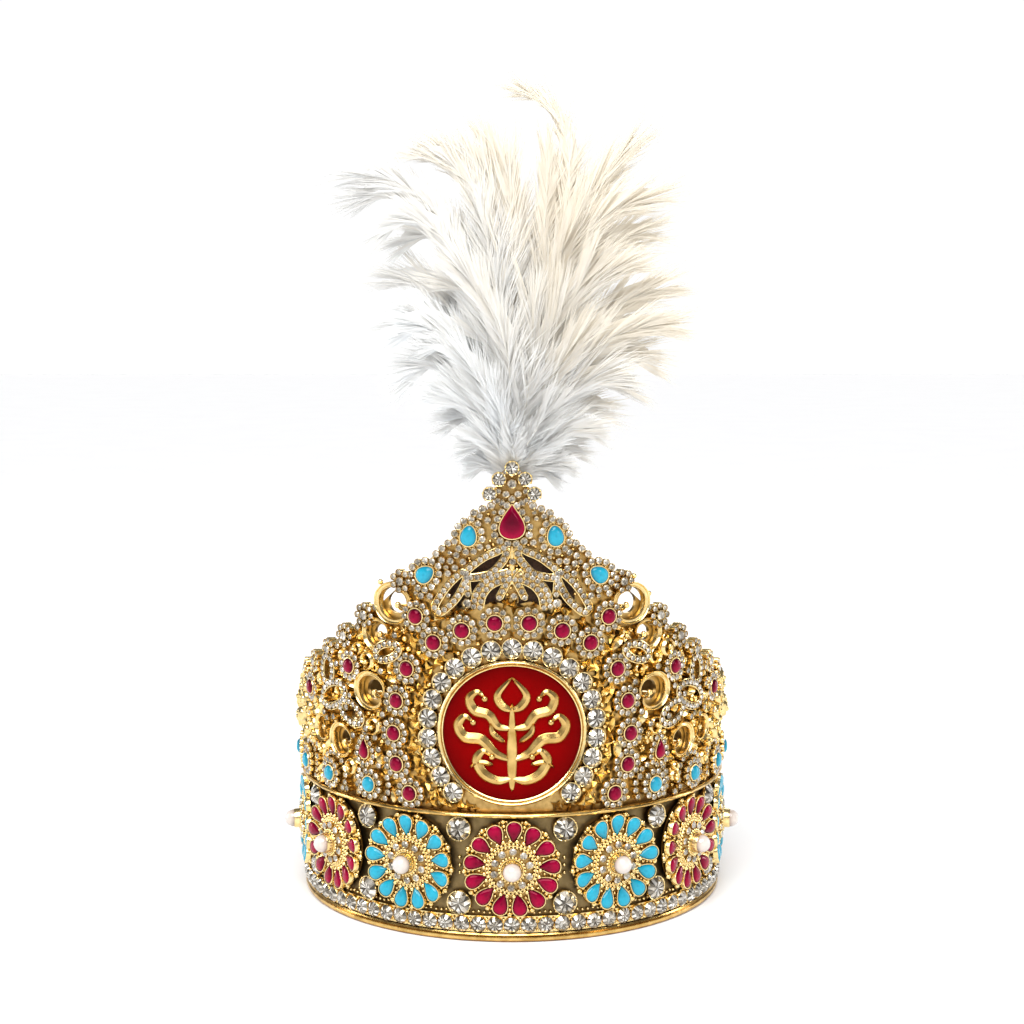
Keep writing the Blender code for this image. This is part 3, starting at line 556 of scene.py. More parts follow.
def brilliant(radius, height):
    """Cut stone with painted reflections: bright wedges with thin dark ones between, seen through
    a cut crown.
    """
    narrow = radians(rng.uniform(4, 9))

    def point(turn, part, level):
        return (radius * part * cos(turn), radius * part * sin(turn), height * level)

    points = [(0, 0, height * 0.5)]
    faces = []
    tones = []
    for k in range(8):
        start = 2 * pi * k / 8
        middle = start + pi / 8
        points += [point(start - narrow, 0.60, 1.0), point(start + narrow, 0.60, 1.0),
                   point(start - narrow, 1.0, 0.0), point(start + narrow, 1.0, 0.0),
                   point(middle, 0.34, 0.85), point(middle, 1.0, 0.0)]
    for k in range(8):
        a, b, c, d, e, f = (1 + 6 * k + i for i in range(6))
        after = 1 + 6 * ((k + 1) % 8)
        faces += [(0, a, b), (0, b, e), (0, e, after), (e, b, after), (a, c, d, b),
                  (b, d, f), (b, f, after), (after, f, after + 2)]
        wedge = rng.choice((0.1, 0.4, 0.6, 0.85, 1.0))
        tones += [rng.uniform(0, 0.12), wedge, wedge * rng.uniform(0.4, 1.0),
                  rng.uniform(0.3, 1.0), rng.uniform(0.0, 0.4), rng.choice((0.12, 0.4, 0.85)),
                  rng.choice((0.35, 0.7, 1.0)), rng.choice((0.12, 0.4, 0.8))]
    return facets(points, faces, tones)


def small_stone(radius, height):
    """Rhinestone with painted reflections: bright and grey facets round a table that is never
    even.
    """
    around = [2 * pi * k / 8 for k in range(8)]
    points = [(radius * cos(a), radius * sin(a), 0) for a in around]
    points += [(radius * 0.6 * cos(a + pi / 8), radius * 0.6 * sin(a + pi / 8), height)
               for a in around]
    points.append((0, 0, height * 0.8))
    faces = []
    tones = []
    for k in range(8):
        after = (k + 1) % 8
        faces += [(k, after, 8 + k), (after, 8 + after, 8 + k), (8 + k, 8 + after, 16)]
        tones += [0.66 if k % 3 else 0.95, 0.75 if k % 4 else 0.3,
                  (0.62, 0.34, 0.28, 0.42, 0.2, 0.5, 0.36, 0.46)[k]]
    return facets(points, faces, tones)


def cup(radius, height):
    """Round gold cup of a rhinestone."""
    wall = 0.2
    outer = radius + wall
    return turned(((outer * 0.86, 0), (outer, height * 0.8), (outer - wall * 0.4, height),
                   (radius - 0.1, height * 0.84)), 10)


# Places

def on_wall(angle, height, lift=0.0, roll=0.0):
    """Place on the round wall: u to the right, v up, h out."""
    turn = radians(angle)
    spin = radians(roll)
    out = np.array((sin(turn), -cos(turn), 0.0))
    right = np.array((cos(turn), sin(turn), 0.0))
    up = np.array((0.0, 0.0, 1.0))
    place = np.eye(4)
    place[:3, 0] = right * cos(spin) + up * sin(spin)
    place[:3, 1] = up * cos(spin) - right * sin(spin)
    place[:3, 2] = out
    place[:3, 3] = out * (SEAT + lift) + up * height
    return place


def on_curve(u, v, lift=0.0):
    """Place on the round wall, u along its curve from the front and v up."""
    return on_wall(degrees(u / SEAT), v, lift)


def arc(angle):
    """Distance along the wall's curve from the front to an angle."""
    return radians(angle) * SEAT


def shift(u, v, h=0.0, roll=0.0, tilt=0.0):
    """Place in a drawing's own plane; tilt leans the piece over."""
    spin = radians(roll)
    lean = radians(tilt)
    turn = np.array(((cos(spin), -sin(spin), 0), (sin(spin), cos(spin), 0), (0, 0, 1.0)))
    nod = np.array(((1.0, 0, 0), (0, cos(lean), -sin(lean)), (0, sin(lean), cos(lean))))
    place = np.eye(4)
    place[:3, :3] = turn @ nod
    place[:3, 3] = (u, v, h)
    return place


def around(count, radius, high=0.0, start=0.0):
    """Turns and places at even steps round a circle, from a start in radians."""
    for k in range(count):
        turn = start + 2 * pi * k / count
        yield turn, shift(radius * cos(turn), radius * sin(turn), high)


def wrap(points):
    """Bend points of u, v and h round the wall; v is the height."""
    points = np.asarray(points, float)
    turn = points[..., 0] / SEAT
    out = SEAT + points[..., 2]
    return np.stack([out * np.sin(turn), -out * np.cos(turn), points[..., 1]], -1)


def flat(x):
    """Distance along the curve of a point that lies sideways of the front by x."""
    return SEAT * asin(x / SEAT)


def both_sides(angle):
    """The angle on the right and, unless it is on the middle plane, on the left."""
    return (angle,) if angle in (0, 180) else (angle, -angle)


def crest(angle):
    """Height of the pierced wall's upper edge."""
    angles, heights = zip(*WALL_CREST)
    return float(np.interp(abs(angle), angles, heights))


def nodes_named(start):
    """Names of the frame's nodes that start so."""
    return sorted(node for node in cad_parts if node.startswith(start))


def place_of(node):
    """Angle and height of a node, from the middle of its points."""
    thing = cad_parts[node]
    points = np.empty(len(thing.data.vertices) * 3)
    thing.data.vertices.foreach_get("co", points)
    x, y, _ = points.reshape(-1, 3).mean(axis=0) / MM
    low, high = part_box(node)
    return degrees(atan2(x, -y)), (low[2] + high[2]) / 2 / MM


def smooth_path(points, steps, closed=False):
    """Smooth curve through points."""
    points = np.asarray(points, float)
    count = len(points)
    picks = range(count if closed else count - 1)
    path = []
    for i in picks:
        if closed:
            a, b, c, d = (points[(i + k) % count] for k in (-1, 0, 1, 2))
        else:
            a, b = points[max(i - 1, 0)], points[i]
            c, d = points[i + 1], points[min(i + 2, count - 1)]
        for t in np.arange(steps) / steps:
            path.append(0.5 * (2 * b + (c - a) * t + (2 * a - 5 * b + 4 * c - d) * t ** 2
                               + (3 * b - 3 * c + d - a) * t ** 3))
    if not closed:
        path.append(points[-1])
    return np.array(path)


def sideways(path, closed=False):
    """Unit vectors to the right of a path."""
    if closed:
        along = np.roll(path, -1, axis=0) - np.roll(path, 1, axis=0)
    else:
        along = np.gradient(path, axis=0)
    along /= np.linalg.norm(along, axis=1)[:, None]
    return np.stack([along[:, 1], -along[:, 0]], -1)


def spaced(path, gap, closed=False):
    """Points along a path at even steps of about the gap."""
    loop = np.vstack([path, path[:1]]) if closed else path
    lengths = np.append(0, np.cumsum(np.linalg.norm(np.diff(loop, axis=0), axis=1)))
    count = max(1, round(lengths[-1] / gap))
    stops = np.linspace(0, lengths[-1], count + 1)
    if closed:
        stops = stops[:-1]
    return np.stack([np.interp(stops, lengths, loop[:, k]) for k in range(2)], -1)


def sweep(path, profile, widths=1.0, heights=1.0, closed=False):
    """Strip along a path of u and v. The profile runs across it, as sideways part and height."""
    across = sideways(path, closed)
    widths = np.broadcast_to(widths, len(path))
    heights = np.broadcast_to(heights, len(path))
    rows = [np.column_stack([path + across * (side * widths)[:, None], high * heights])
            for side, high in reversed(profile)]
    points, quads = skin(np.stack(rows, axis=1), around=False, along=closed)
    return points, quads[:, ::-1]


# Settings that repeat

CLAW = grain(0.62, 6)
CHATON_CUTS = 5             # different cuts of a large stone
ROW_CUTS = 6                # different cuts of a stone in the row over the rim
FLOWER_TURN = (-15, 15)     # how far a flower may be turned
FLOWER_REACH = 7.2          # room that a flower of the garlands takes
CUP_STONE = {}              # cups and rhinestones by radius and height


def lay(shape, path, profile, widths=1.0, heights=1.0, lift=0.0, closed=False):
    """Strip along a path of u and v, laid on the round wall."""
    points, quads = sweep(path, profile, widths, heights, closed)
    shape.add(wrap(points + (0, 0, lift)), (quads,))


def set_stone(jewel, place, radius, height):
    """Rhinestone in its cup, turned and tilted a little as hand-set stones are."""
    if (radius, height) not in CUP_STONE:
        CUP_STONE[radius, height] = (cup(radius, height), small_stone(radius, radius * 0.42))
    cup_arrays, stone_arrays = CUP_STONE[radius, height]
    jewel["gold"].stamp(cup_arrays, place)
    turn = shift(0, 0, height * 0.86, rng.uniform(0, 45), rng.uniform(-4, 4))
    jewel["crystal"].stamp(stone_arrays, place @ turn, rng.uniform(-0.2, 0.15))


def chatons(radius, height, claws=6):
    """Large cut stones in collets with claws, each cut a little differently."""
    wall = 0.42
    collet = turned(((radius * 0.8, 0), (radius + wall, height * 0.7),
                     (radius + wall * 0.7, height), (radius - 0.1, height * 0.94)), 24)
    made = []
    for _ in range(CHATON_CUTS):
        jewel = Jewel()
        jewel["gold"].stamp(collet)
        jewel["crystal"].stamp(brilliant(radius, radius * 0.36), shift(0, 0, height * 0.94, 11))
        for _, place in around(claws, radius, height * 0.85, pi / claws):
            jewel["gold"].stamp(CLAW, place)
        made.append(jewel.frozen())
    return made


def set_large(jewel, stones, place):
    """One of several large stones, turned at random."""
    pick = stones[rng.integers(len(stones))]
    jewel.stamp(pick, place @ shift(0, 0, 0, rng.uniform(0, 90)))


def flower(stone_kind, loop, halo_loop, halo_radius, seat=0.0):
    """Flower: a cabochon in a bezel, with a halo of rhinestones in cups on a raised plate."""
    jewel = Jewel()
    high = shift(0, 0, seat)
    jewel["gold"].stamp(dome(grown(halo_loop, 0.2), 0.8 + seat, steps=PLATE))
    for u, v in spaced(halo_loop, 2 * halo_radius, closed=True):
        place = high @ shift(u, v, 0.2, degrees(atan2(v, u)))
        set_stone(jewel, place, halo_radius - 0.2, 2.0)
    bead = grain(0.45, 6)
    for u, v in spaced(grown(halo_loop, -halo_radius), 1.7, closed=True):
        jewel["gold"].stamp(bead, high @ shift(u, v, 1.3))
    jewel["gold"].stamp(collar(loop, 0.5, 0.6, 2.7), high)
    jewel[stone_kind].stamp(dome(loop, 1.9, 2.35), high)
    return jewel.frozen()


def round_flower(stone_kind, stone_radius, halo_centre, halo_radius, seat=0.0):
    """Flower with a round cabochon."""
    return flower(stone_kind, outline("oval", stone_radius, stone_radius, 20),
                  outline("oval", halo_centre, halo_centre, 48), halo_radius, seat)


# The base

def make_base():
    """Rounded rim with a wire over it, and the channel of cut stones."""
    jewel = Jewel()
    rim = ((RIM_INNER, 0), (RIM_OUTER - 1.0, 0), (RIM_OUTER - 0.25, 0.5), (RIM_OUTER, 1.3),
           (RIM_OUTER - 0.25, 2.1), (RIM_OUTER - 0.9, 2.45), (RIM_OUTER - 0.6, 3.0),
           (RIM_OUTER - 1.1, RIM_TOP), (RIM_INNER, RIM_TOP), (RIM_INNER, 0))
    jewel["deep"].stamp(turned(rim, WALL_SIDES))
    pieces("base_rim", jewel, ["base_rim"])

    jewel = Jewel()
    floor = ROW_FACE - 0.9
    back = ((SEAT, ROW_BOTTOM), (floor, ROW_BOTTOM), (floor, ROW_TOP), (SEAT, ROW_TOP),
            (SEAT, ROW_BOTTOM))
    jewel["gold"].stamp(turned(back, 168))
    middle = (ROW_BOTTOM + ROW_TOP) / 2
    stones = [brilliant(3.5, 1.3) for _ in range(ROW_CUTS)]
    bowl = turned(((3.3, 0), (3.62, 0.9), (3.4, 1.25)), 16)
    bead = grain(0.75, 6)
    for i in range(ROW_STONES):
        angle = 360 * i / ROW_STONES
        seat = on_wall(angle, middle, ROW_FACE - SEAT - 0.9)
        jewel["gold"].stamp(bowl, seat)
        jewel["crystal"].stamp(stones[rng.integers(ROW_CUTS)],
                               seat @ shift(0, 0, 1.2, rng.uniform(0, 45), rng.uniform(-3, 3)))
        corner = on_wall(angle + 180 / ROW_STONES, middle, ROW_FACE - SEAT - 0.9)
        for v in (-2.5, 2.5):
            jewel["gold"].stamp(CLAW, corner @ shift(0, v, 0.7))
        for part in (-0.5, 0.0, 0.5):
            top = on_wall(angle + part * 360 / ROW_STONES * 0.66, ROW_TOP + 1.5)
            jewel["gold"].stamp(bead, top @ shift(0, 0.35 * cos(part * 9), 0.2))
    pieces("stone_row", jewel, ["stone_row"])


def make_band():
    """Satin band with the cut stones between the rosettes, and the wire that closes it."""
    jewel = Jewel()
    wall = ((SHEET_INNER, ROW_BOTTOM), (SHEET_OUTER, ROW_BOTTOM), (SHEET_OUTER, BAND_TOP),
            (SHEET_INNER, BAND_TOP), (SHEET_INNER, ROW_BOTTOM))
    # The band's wall in the darker copy of the satin gold: painted shade.
    jewel["painted_shade_satin"].stamp(turned(wall, WALL_SIDES))
    big = chatons(GAP_STONE_RADIUS, 2.6)
    bead = grain(0.9)
    for first, second in zip(ROSETTE_ANGLES, ROSETTE_ANGLES[1:]):
        for angle in both_sides((first + second) / 2):
            for height in GAP_STONE_HEIGHTS:
                set_large(jewel, big, on_wall(angle, height, -0.2))
            for v in (-3.4, 0.0, 3.4):
                jewel["gold"].stamp(bead, on_wall(angle, 33.4 + v))
    pieces("band", jewel, ["band"])

    jewel = Jewel()
    wire = []
    for turn in np.linspace(0, 2 * pi, 241)[:-1]:
        thick = 1.28 + (0.08 * sin(turn * 23) + 0.06 * sin(turn * 41 + 1))
        ring = []
        for a in 2 * pi * np.arange(10) / 10:
            out = SEAT + 3.3 + thick * cos(a)
            ring.append((out * sin(turn), -out * cos(turn), BAND_TOP + 0.4 + 1.05 * sin(a)))
        wire.append(ring)
    points, quads = skin(wire, along=True)
    jewel["deep"].add(points, (quads,))
    web = ((SEAT, BAND_TOP - 0.2), (SEAT + 2.4, BAND_TOP - 0.1), (SEAT + 2.4, BAND_TOP + 0.5),
           (SEAT, BAND_TOP + 0.6), (SEAT, BAND_TOP - 0.2))
    jewel["satin"].stamp(turned(web, WALL_SIDES))
    pieces("band_wire", jewel, ["band_wire"])


def rosette(petal_kind):
    """Rosette: drop-shaped cabochons round a granulated dome with rhinestones and a pearl."""
    jewel = Jewel()
    dish = ((ROSETTE_RADIUS - 1.6, 0), (ROSETTE_RADIUS - 1.3, 0.9), (17.5, 1.5), (12.2, 2.7),
            (8.0, 4.3), (5.4, 5.6), (0, 5.8))
    # Dish in the darker copy of the satin gold: painted shade.
    jewel["painted_shade_ground"].stamp(turned(dish, 52))
    drop = outline("drop", 3.2, 5.15, 28)
    bezel = collar(drop, 0.42, 0.4, 2.6)
    gem = dome(drop, 1.7, 1.9)
    for turn, place in around(PETALS, 16.5, 1.3, pi / 2):
        place = place @ shift(0, 0, 0, degrees(turn) + 90, -9)
        jewel["gold"].stamp(bezel, place)
        jewel[petal_kind].stamp(gem, place, rng.uniform(-0.08, 0.08))
    for count, radius, high, size, first in ROSETTE_BEADS:
        bead = grain(size)
        for _, place in around(count, radius, high, pi / 2 + first * 2 * pi / PETALS):
            jewel["gold"].stamp(bead, place)
    for radius, high, thick in ROSETTE_WIRES:
        ring = [(radius + thick * cos(a), high + thick * sin(a))
                for a in np.linspace(pi, -pi, 7)]
        jewel["gold"].stamp(turned(ring, 52))
    for turn, place in around(10, 8.0, 3.9, pi / 10):
        set_stone(jewel, place @ shift(0, 0, 0, degrees(turn)), 1.75, 1.5)
    jewel["gold"].stamp(turned(((4.7, 5.2), (4.5, 8.2), (4.25, 9.0), (3.8, 8.8)), 26))
    jewel["pearl"].stamp(ball(4.05), shift(0, 0, 9.2))
    return jewel.frozen()


def make_rosettes():
    """All rosettes, at the places of their nodes."""
    templates = (rosette("ruby"), rosette("turquoise"))
    jewel = Jewel()
    nodes = nodes_named("rosette_")
    for node in nodes:
        angle, height = place_of(node)
        order = min(range(len(ROSETTE_ANGLES)), key=lambda k: abs(ROSETTE_ANGLES[k] - abs(angle)))
        jewel.stamp(templates[order % 2], on_wall(angle, height, 0.0, rng.uniform(-3, 3)))
    pieces("rosettes", jewel, nodes)


# The pierced wall

class Field:
    """Round places on the unrolled wall that are taken."""

    ROOM = 20000
    FAR = 1e6

    def __init__(self):
        self.rows = np.full((self.ROOM, 3), self.FAR)
        self.count = 0

    def take(self, u, v, radius):
        """Mark a place as taken."""
        self.rows[self.count] = (u, v, radius)
        self.count += 1

    def free(self, u, v, radius):
        """Whether a round piece fits there."""
        rows = self.rows[:self.count]
        return bool((np.hypot(rows[:, 0] - u, rows[:, 1] - v) > rows[:, 2] + radius).all())


field = Field()


def prism(loop, depth):
    """Straight prism over an outline, as deep to both sides."""
    count = len(loop)
    points, quads = skin([np.column_stack([loop, np.full(count, h)]) for h in (-depth, depth)])
    tips = [(*loop.mean(axis=0), h) for h in (-depth, depth)]
    low = fan(0, count, 2 * count)[:, (1, 0, 2)]
    high = fan(count, count, 2 * count + 1)
    return Shape().add(np.vstack([points, tips]), (quads, low, high)).arrays()


def wall_openings():
    """The wall's openings as prisms; the field takes the oval ones."""
    cutter = Shape()
    ovals = [(angle, height, radius * 0.6, radius * 0.6, 20, radius * 0.62)
             for angle, height, radius, _ in SCROLLS]
    ovals += [(*row, 16, row[3]) for row in SIDE_OPENINGS]
    for angle, height, half_width, half_height, sides, reach in ovals:
        hole = prism(outline("oval", half_width, half_height, sides), 6.0)
        for turn in both_sides(angle):
            cutter.stamp(hole, on_wall(turn, height))
            field.take(arc(turn), height, reach)
    for side in (1, -1):
        loop = np.array([(side * x, z) for x, z in LEAF_OPENING])
        loop = loop if signed_area(loop) > 0 else loop[::-1]
        cutter.stamp(prism(loop, 20.0), on_wall(0, 0))
    return cutter.arrays()


def signed_area(loop):
    """Area of an outline, positive where it runs anticlockwise."""
    after = np.roll(loop, -1, axis=0)
    return float((loop[:, 0] * after[:, 1] - loop[:, 1] * after[:, 0]).sum()) / 2


def make_wall_sheet():
    """Pierced sheet of the wall."""
    columns = 200
    rows = []
    for i in range(columns):
        angle = 360 * i / columns
        turn = radians(angle)
        top = crest(angle if angle <= 180 else angle - 360)
        section = ((SHEET_INNER, WALL_BOTTOM), (SHEET_OUTER, WALL_BOTTOM),
                   (SHEET_OUTER, top - 0.4), (SHEET_OUTER - 0.4, top), (SHEET_INNER, top))
        rows.append([(r * sin(turn), -r * cos(turn), z) for r, z in section])
    points, quads = skin(rows, along=True)
    whole = Shape().add(points, (quads[:, ::-1],))
    # The sheet takes the darker copy of the satin gold: painted shade.
    sheet = new_object("crown_wall_sheet", whole.arrays(), MATERIALS["painted_shade_ground"])
    cutter = new_object("wall_openings", wall_openings(), None)
    modifier = sheet.modifiers.new("Openings", "BOOLEAN")
    modifier.operation = "DIFFERENCE"
    modifier.solver = "EXACT"
    modifier.object = cutter
    bpy.context.view_layer.update()
    evaluated = sheet.evaluated_get(bpy.context.evaluated_depsgraph_get())
    mesh = bpy.data.meshes.new_from_object(evaluated)
    sheet.modifiers.clear()
    sheet.data = mesh
    bpy.data.objects.remove(cutter, do_unlink=True)
    mesh.shade_smooth()
    mesh.set_sharp_from_angle(angle=radians(SHEET_CREASE))
    dress(sheet, "satin_gold", "crown_wall")


def c_path(radius, mouth):
    """C-shaped path whose ends wind in to volutes."""
    step = 3.55 / 30
    run = np.arange(30) * step
    heading = np.cumsum(np.interp(run, (0, 2.0, 3.55), (1.0, 1.0, 3.7))) * step
    half = np.stack([np.cumsum(np.sin(heading)) * step - 1, np.cumsum(np.cos(heading)) * step], -1)
    path = radius * np.vstack([half[::-1] * (1, -1), ((-1, 0),), half])
    spin = radians(mouth)
    return path @ np.array(((cos(spin), sin(spin)), (-sin(spin), cos(spin))))


SCROLL_PROFILE = (          # across the strip, height over the wall
    (-1.0, 0.0), (-1.02, 3.2), (-0.82, 3.9), (-0.58, 3.7), (-0.42, 3.0), (0.0, 2.7),
    (0.42, 2.8), (0.62, 3.2), (0.84, 3.2), (1.02, 2.6), (1.0, 0.0),
)
WIRE_PROFILE = (            # a round wire that lies on the wall
    (-1.0, 0.0), (-0.95, 0.5), (-0.6, 0.9), (0.0, 1.1), (0.6, 0.9), (0.95, 0.5), (1.0, 0.0),
)


def make_scrolls(jewel):
    """Cast C-scrolls round the openings, with beads in their volutes and round them."""
    bead = grain(1.3, 10)
    for angle, height, radius, mouth in SCROLLS:
        for side in (1, -1):
            middle = np.array((arc(side * angle), height))
            path = c_path(radius * 1.1, mouth if side == 1 else 180 - mouth)
            taper = 0.35 + 0.65 * np.sin(np.linspace(0, pi, len(path)))
            lay(jewel["gold"], path + middle, SCROLL_PROFILE, radius * 0.165 * taper,
                0.65 + 0.35 * taper)
            for end in (path[0], path[-1]):
                jewel["gold"].stamp(bead, on_curve(*(end * 0.92 + middle), 1.6))
            for turn in np.radians(np.arange(15, 316, 60)):
                spot = middle + radius * 1.5 * np.array((cos(turn), sin(turn)))
                jewel["gold"].stamp(bead, on_curve(*spot))
            field.take(*middle, radius * 1.25)


def pave(jewel, path, radius, rows=1, closed=False, rise=2.3):
    """Strip of touching rhinestones between raised edges, along a path on the wall."""
    half = rows * (radius + 0.15) + 0.3
    edge = 1 - 0.34 / half
    profile = ((-1.0, 0.0), (-1.0, rise - 0.2), (-edge, rise), (-edge, rise - 0.8),
               (edge, rise - 0.8), (edge, rise), (1.0, rise - 0.2), (1.0, 0.0))
    lay(jewel["gold"], path, profile, half, closed=closed)
    for row in range(rows):
        aside = (row - (rows - 1) / 2) * (2 * radius + 0.3)
        lane = path + sideways(path, closed) * aside
        for u, v in spaced(lane, 2 * radius + 0.26, closed):
            set_stone(jewel, on_curve(u, v, rise - 1.2), radius, 1.35)
            field.take(u, v, radius + 0.3)


def make_pave_rings(jewel):
    """Loops of set stones on the sides, each round an opening or a small leaf."""
    for angle, height, half_length, half_width, tilt in PAVE_RINGS:
        for side in (1, -1):
            turn = radians(side * tilt)
            loop = outline("oval", half_length, half_width, 32)
            loop = loop @ np.array(((cos(turn), sin(turn)), (-sin(turn), cos(turn))))
            pave(jewel, loop + (arc(side * angle), height), 1.3, closed=True,
                 rise=4.4)


def make_edge(jewel):
    """Upper edge of the wall: clusters and single stones in front, a line of beads behind."""
    for angle, radius in EDGE_STONES:
        height = crest(angle) + 0.4
        reach = radius * 0.86 + 1.75
        back = turned(((0.1, -0.8), (radius + 2.0, -0.8), (radius + 2.0, 2.2), (0, 2.6)), 16)
        for turn in both_sides(angle):
            place = on_wall(turn, height)
            jewel["gold"].stamp(back, place)
            set_stone(jewel, place, radius * 0.86, 4.6)
            for _, petal in around(round(2 * pi * reach / 3.3), reach):
                set_stone(jewel, place @ petal, 1.42, 3.8)
            field.take(arc(turn), height, radius + 3.0)
    path = np.array([(arc(a), crest(a) - 0.9) for a in np.arange(2.5, EDGE_END, 0.5)])
    for u, v in spaced(path, 3.6):
        for side in (1, -1):
            if field.free(side * u, v, 0.4):
                set_stone(jewel, on_curve(side * u, v), 1.55, 2.8)
                field.take(side * u, v, 1.6)
    bead = grain(1.0)
    for angle in np.arange(EDGE_END, 285.0, 1.25):
        turn = angle if angle <= 180 else angle - 360
        jewel["gold"].stamp(bead, on_wall(turn, crest(turn) - 0.9, -0.1))
        field.take(arc(turn), crest(turn) - 0.9, 0.8)


def star(radius, height):
    """Four-pointed star with ridges."""
    points = []
    for k in range(8):
        reach = radius if k % 2 == 0 else radius * 0.4
        a = pi * k / 4
        points.append((reach * cos(a), reach * sin(a), 0))
    return Shape().add([*points, (0, 0, height)], (fan(0, 8, 8),)).arrays()


def floret(radius, height):
    """Cast floret: five lobes round a bead."""
    turns = 2 * pi * np.arange(20) / 20
    reach = radius * (0.78 + 0.22 * np.cos(5 * turns))
    loop = np.stack([reach * np.cos(turns), reach * np.sin(turns)], -1)
    shape = Shape()
    shape.stamp(dome(loop, height, steps=((1, 0), (0.9, 0.85), (0.64, 1), (0.3, 0.82))))
    shape.stamp(grain(radius * 0.32), shift(0, 0, height * 0.85))
    return shape.arrays()


def curl(radius, height):
    """Cast curl: a tapering wire that winds in to a bead."""
    part = np.linspace(0, 1, 16)
    turn = part * radians(430)
    reach = radius * (0.98 - 0.74 * part)
    path = np.stack([reach * np.cos(turn), reach * np.sin(turn)], -1)
    width = radius * (0.12 + 0.15 * np.sin(pi * np.clip(part * 0.8 + 0.1, 0, 1)))
    points, quads = sweep(path, WIRE_PROFILE, width, height * (0.75 + 0.25 * part))
    shape = Shape().add(points, (quads,))
    shape.stamp(grain(radius * 0.26), shift(*path[-1], height * 0.8))
    return shape.arrays()


def leaflet(radius, height):
    """Cast leaf with a ridge along its middle."""
    rows = []
    for part in np.linspace(-1, 1, 7):
        half = 0.46 * radius * (1 - part ** 2) ** 0.7 + 0.03
        high = height * (1 - part ** 2) + 0.1
        section = ((-half, 0), (-half * 0.5, high * 0.6), (0, high), (half * 0.5, high * 0.6),
                   (half, 0))
        rows.append([(radius * part, aside, h) for aside, h in section])
    points, quads = skin(rows, around=False)
    return Shape().add(points, (quads[:, ::-1],)).arrays()


def scatter(jewel, radius, tries, box, form, crowd, layers=0.0):
    """Throw round forms on the free wall, within a box of angles and heights.

    A lower crowd packs them closer, and layers is how much higher the highest of them stand.
    """
    first, last, low, high = box
    for _ in range(tries):
        angle = rng.uniform(first, last) * rng.choice((-1.0, 1.0))
        u = arc(angle)
        v = rng.uniform(max(low, WALL_BOTTOM + 0.8 + radius * 0.8), high)
        roll = rng.uniform(0, 360)
        pick = rng.uniform()
        if v > crest(angle) - radius * 0.6 or in_leaf_opening(u, v):
            continue
        if not field.free(u, v, radius * crowd):
            continue
        field.take(u, v, radius * crowd)
        form(jewel, on_wall(angle, v, -0.3 + layers * pick, roll), pick)


def make_field(jewel):
    """Fill what is left of the wall: stones at the peak, stars in front, curls on the sides."""
    tall_curls = [curl(4.6, 4.3), curl(3.5, 3.9), curl(2.6, 3.4)]
    florets = [floret(3.4, 3.2), floret(2.0, 2.6)]
    leaves = [leaflet(4.4, 3.4), leaflet(3.2, 2.6)]
    low_florets = [floret(3.4, 1.7), floret(2.0, 1.2)]
    stars = [star(4.4, 3.0), star(3.2, 2.4), star(2.2, 1.8)]
    beads = [grain(1.5, 8), grain(1.0, 7), grain(0.9, 6)]

    def mixed(first, second=None, share=1.0):
        return lambda jewel, place, pick: jewel["gold"].stamp(first if pick < share else second,
                                                              place)

    def cups(radius, height):
        return lambda jewel, place, pick: set_stone(jewel, place, radius, height)

    peak = (0, 34, 152, 200)
    front = (0, 27, 57, 152)
    side = (24, 112, 57, 160)
    back = (112, 180, 57, 106)
    scatter(jewel, 1.75, 4000, peak, cups(1.56, 2.8), 0.88)
    scatter(jewel, 1.3, 4000, peak, cups(1.1, 2.2), 0.85)
    scatter(jewel, 0.8, 3000, peak, mixed(beads[2]), 0.85)
    scatter(jewel, 3.1, 5000, front, mixed(stars[0]), 0.64, 1.6)
    scatter(jewel, 2.3, 4000, front, mixed(stars[1]), 0.7, 1.3)
    scatter(jewel, 1.5, 3000, front, mixed(stars[2]), 0.8, 1.0)
    scatter(jewel, 4.3, 1500, side, mixed(tall_curls[0]), 0.62, 3.0)
    scatter(jewel, 1.75, 500, side, cups(1.6, 5.5), 0.9)
    scatter(jewel, 3.4, 2000, side, mixed(tall_curls[1], florets[0], 0.7), 0.62, 2.6)
    scatter(jewel, 2.6, 2500, side, mixed(tall_curls[2], leaves[0], 0.5), 0.62, 2.2)
    scatter(jewel, 1.75, 2000, side, cups(1.6, 4.6), 0.88)
    scatter(jewel, 1.9, 3000, side, mixed(florets[1], leaves[1], 0.5), 0.62, 1.5)
    scatter(jewel, 3.6, 1500, back, mixed(low_florets[0], tall_curls[1], 0.6), 0.72)
    scatter(jewel, 2.1, 2500, back, mixed(low_florets[1], stars[2], 0.5), 0.72)
    scatter(jewel, 1.4, 5000, side, mixed(beads[0]), 0.75)
    scatter(jewel, 0.95, 6000, (24, 180, 57, 200), mixed(beads[1]), 0.8)


def in_leaf_opening(u, v):
    """Whether a point of the wall lies in the openings behind the leaves."""
    x = abs(SEAT * sin(u / SEAT))
    if abs(u) > arc(90) or v < LEAF_LOW or v > LEAF_HIGH or x < LEAF_INNER:
        return False
    inside = False
    for (x0, z0), (x1, z1) in zip(LEAF_OPENING, LEAF_OPENING[1:] + LEAF_OPENING[:1]):
        if (z0 > v) != (z1 > v) and x < x0 + (v - z0) * (x1 - x0) / (z1 - z0):
            inside = not inside
    return inside


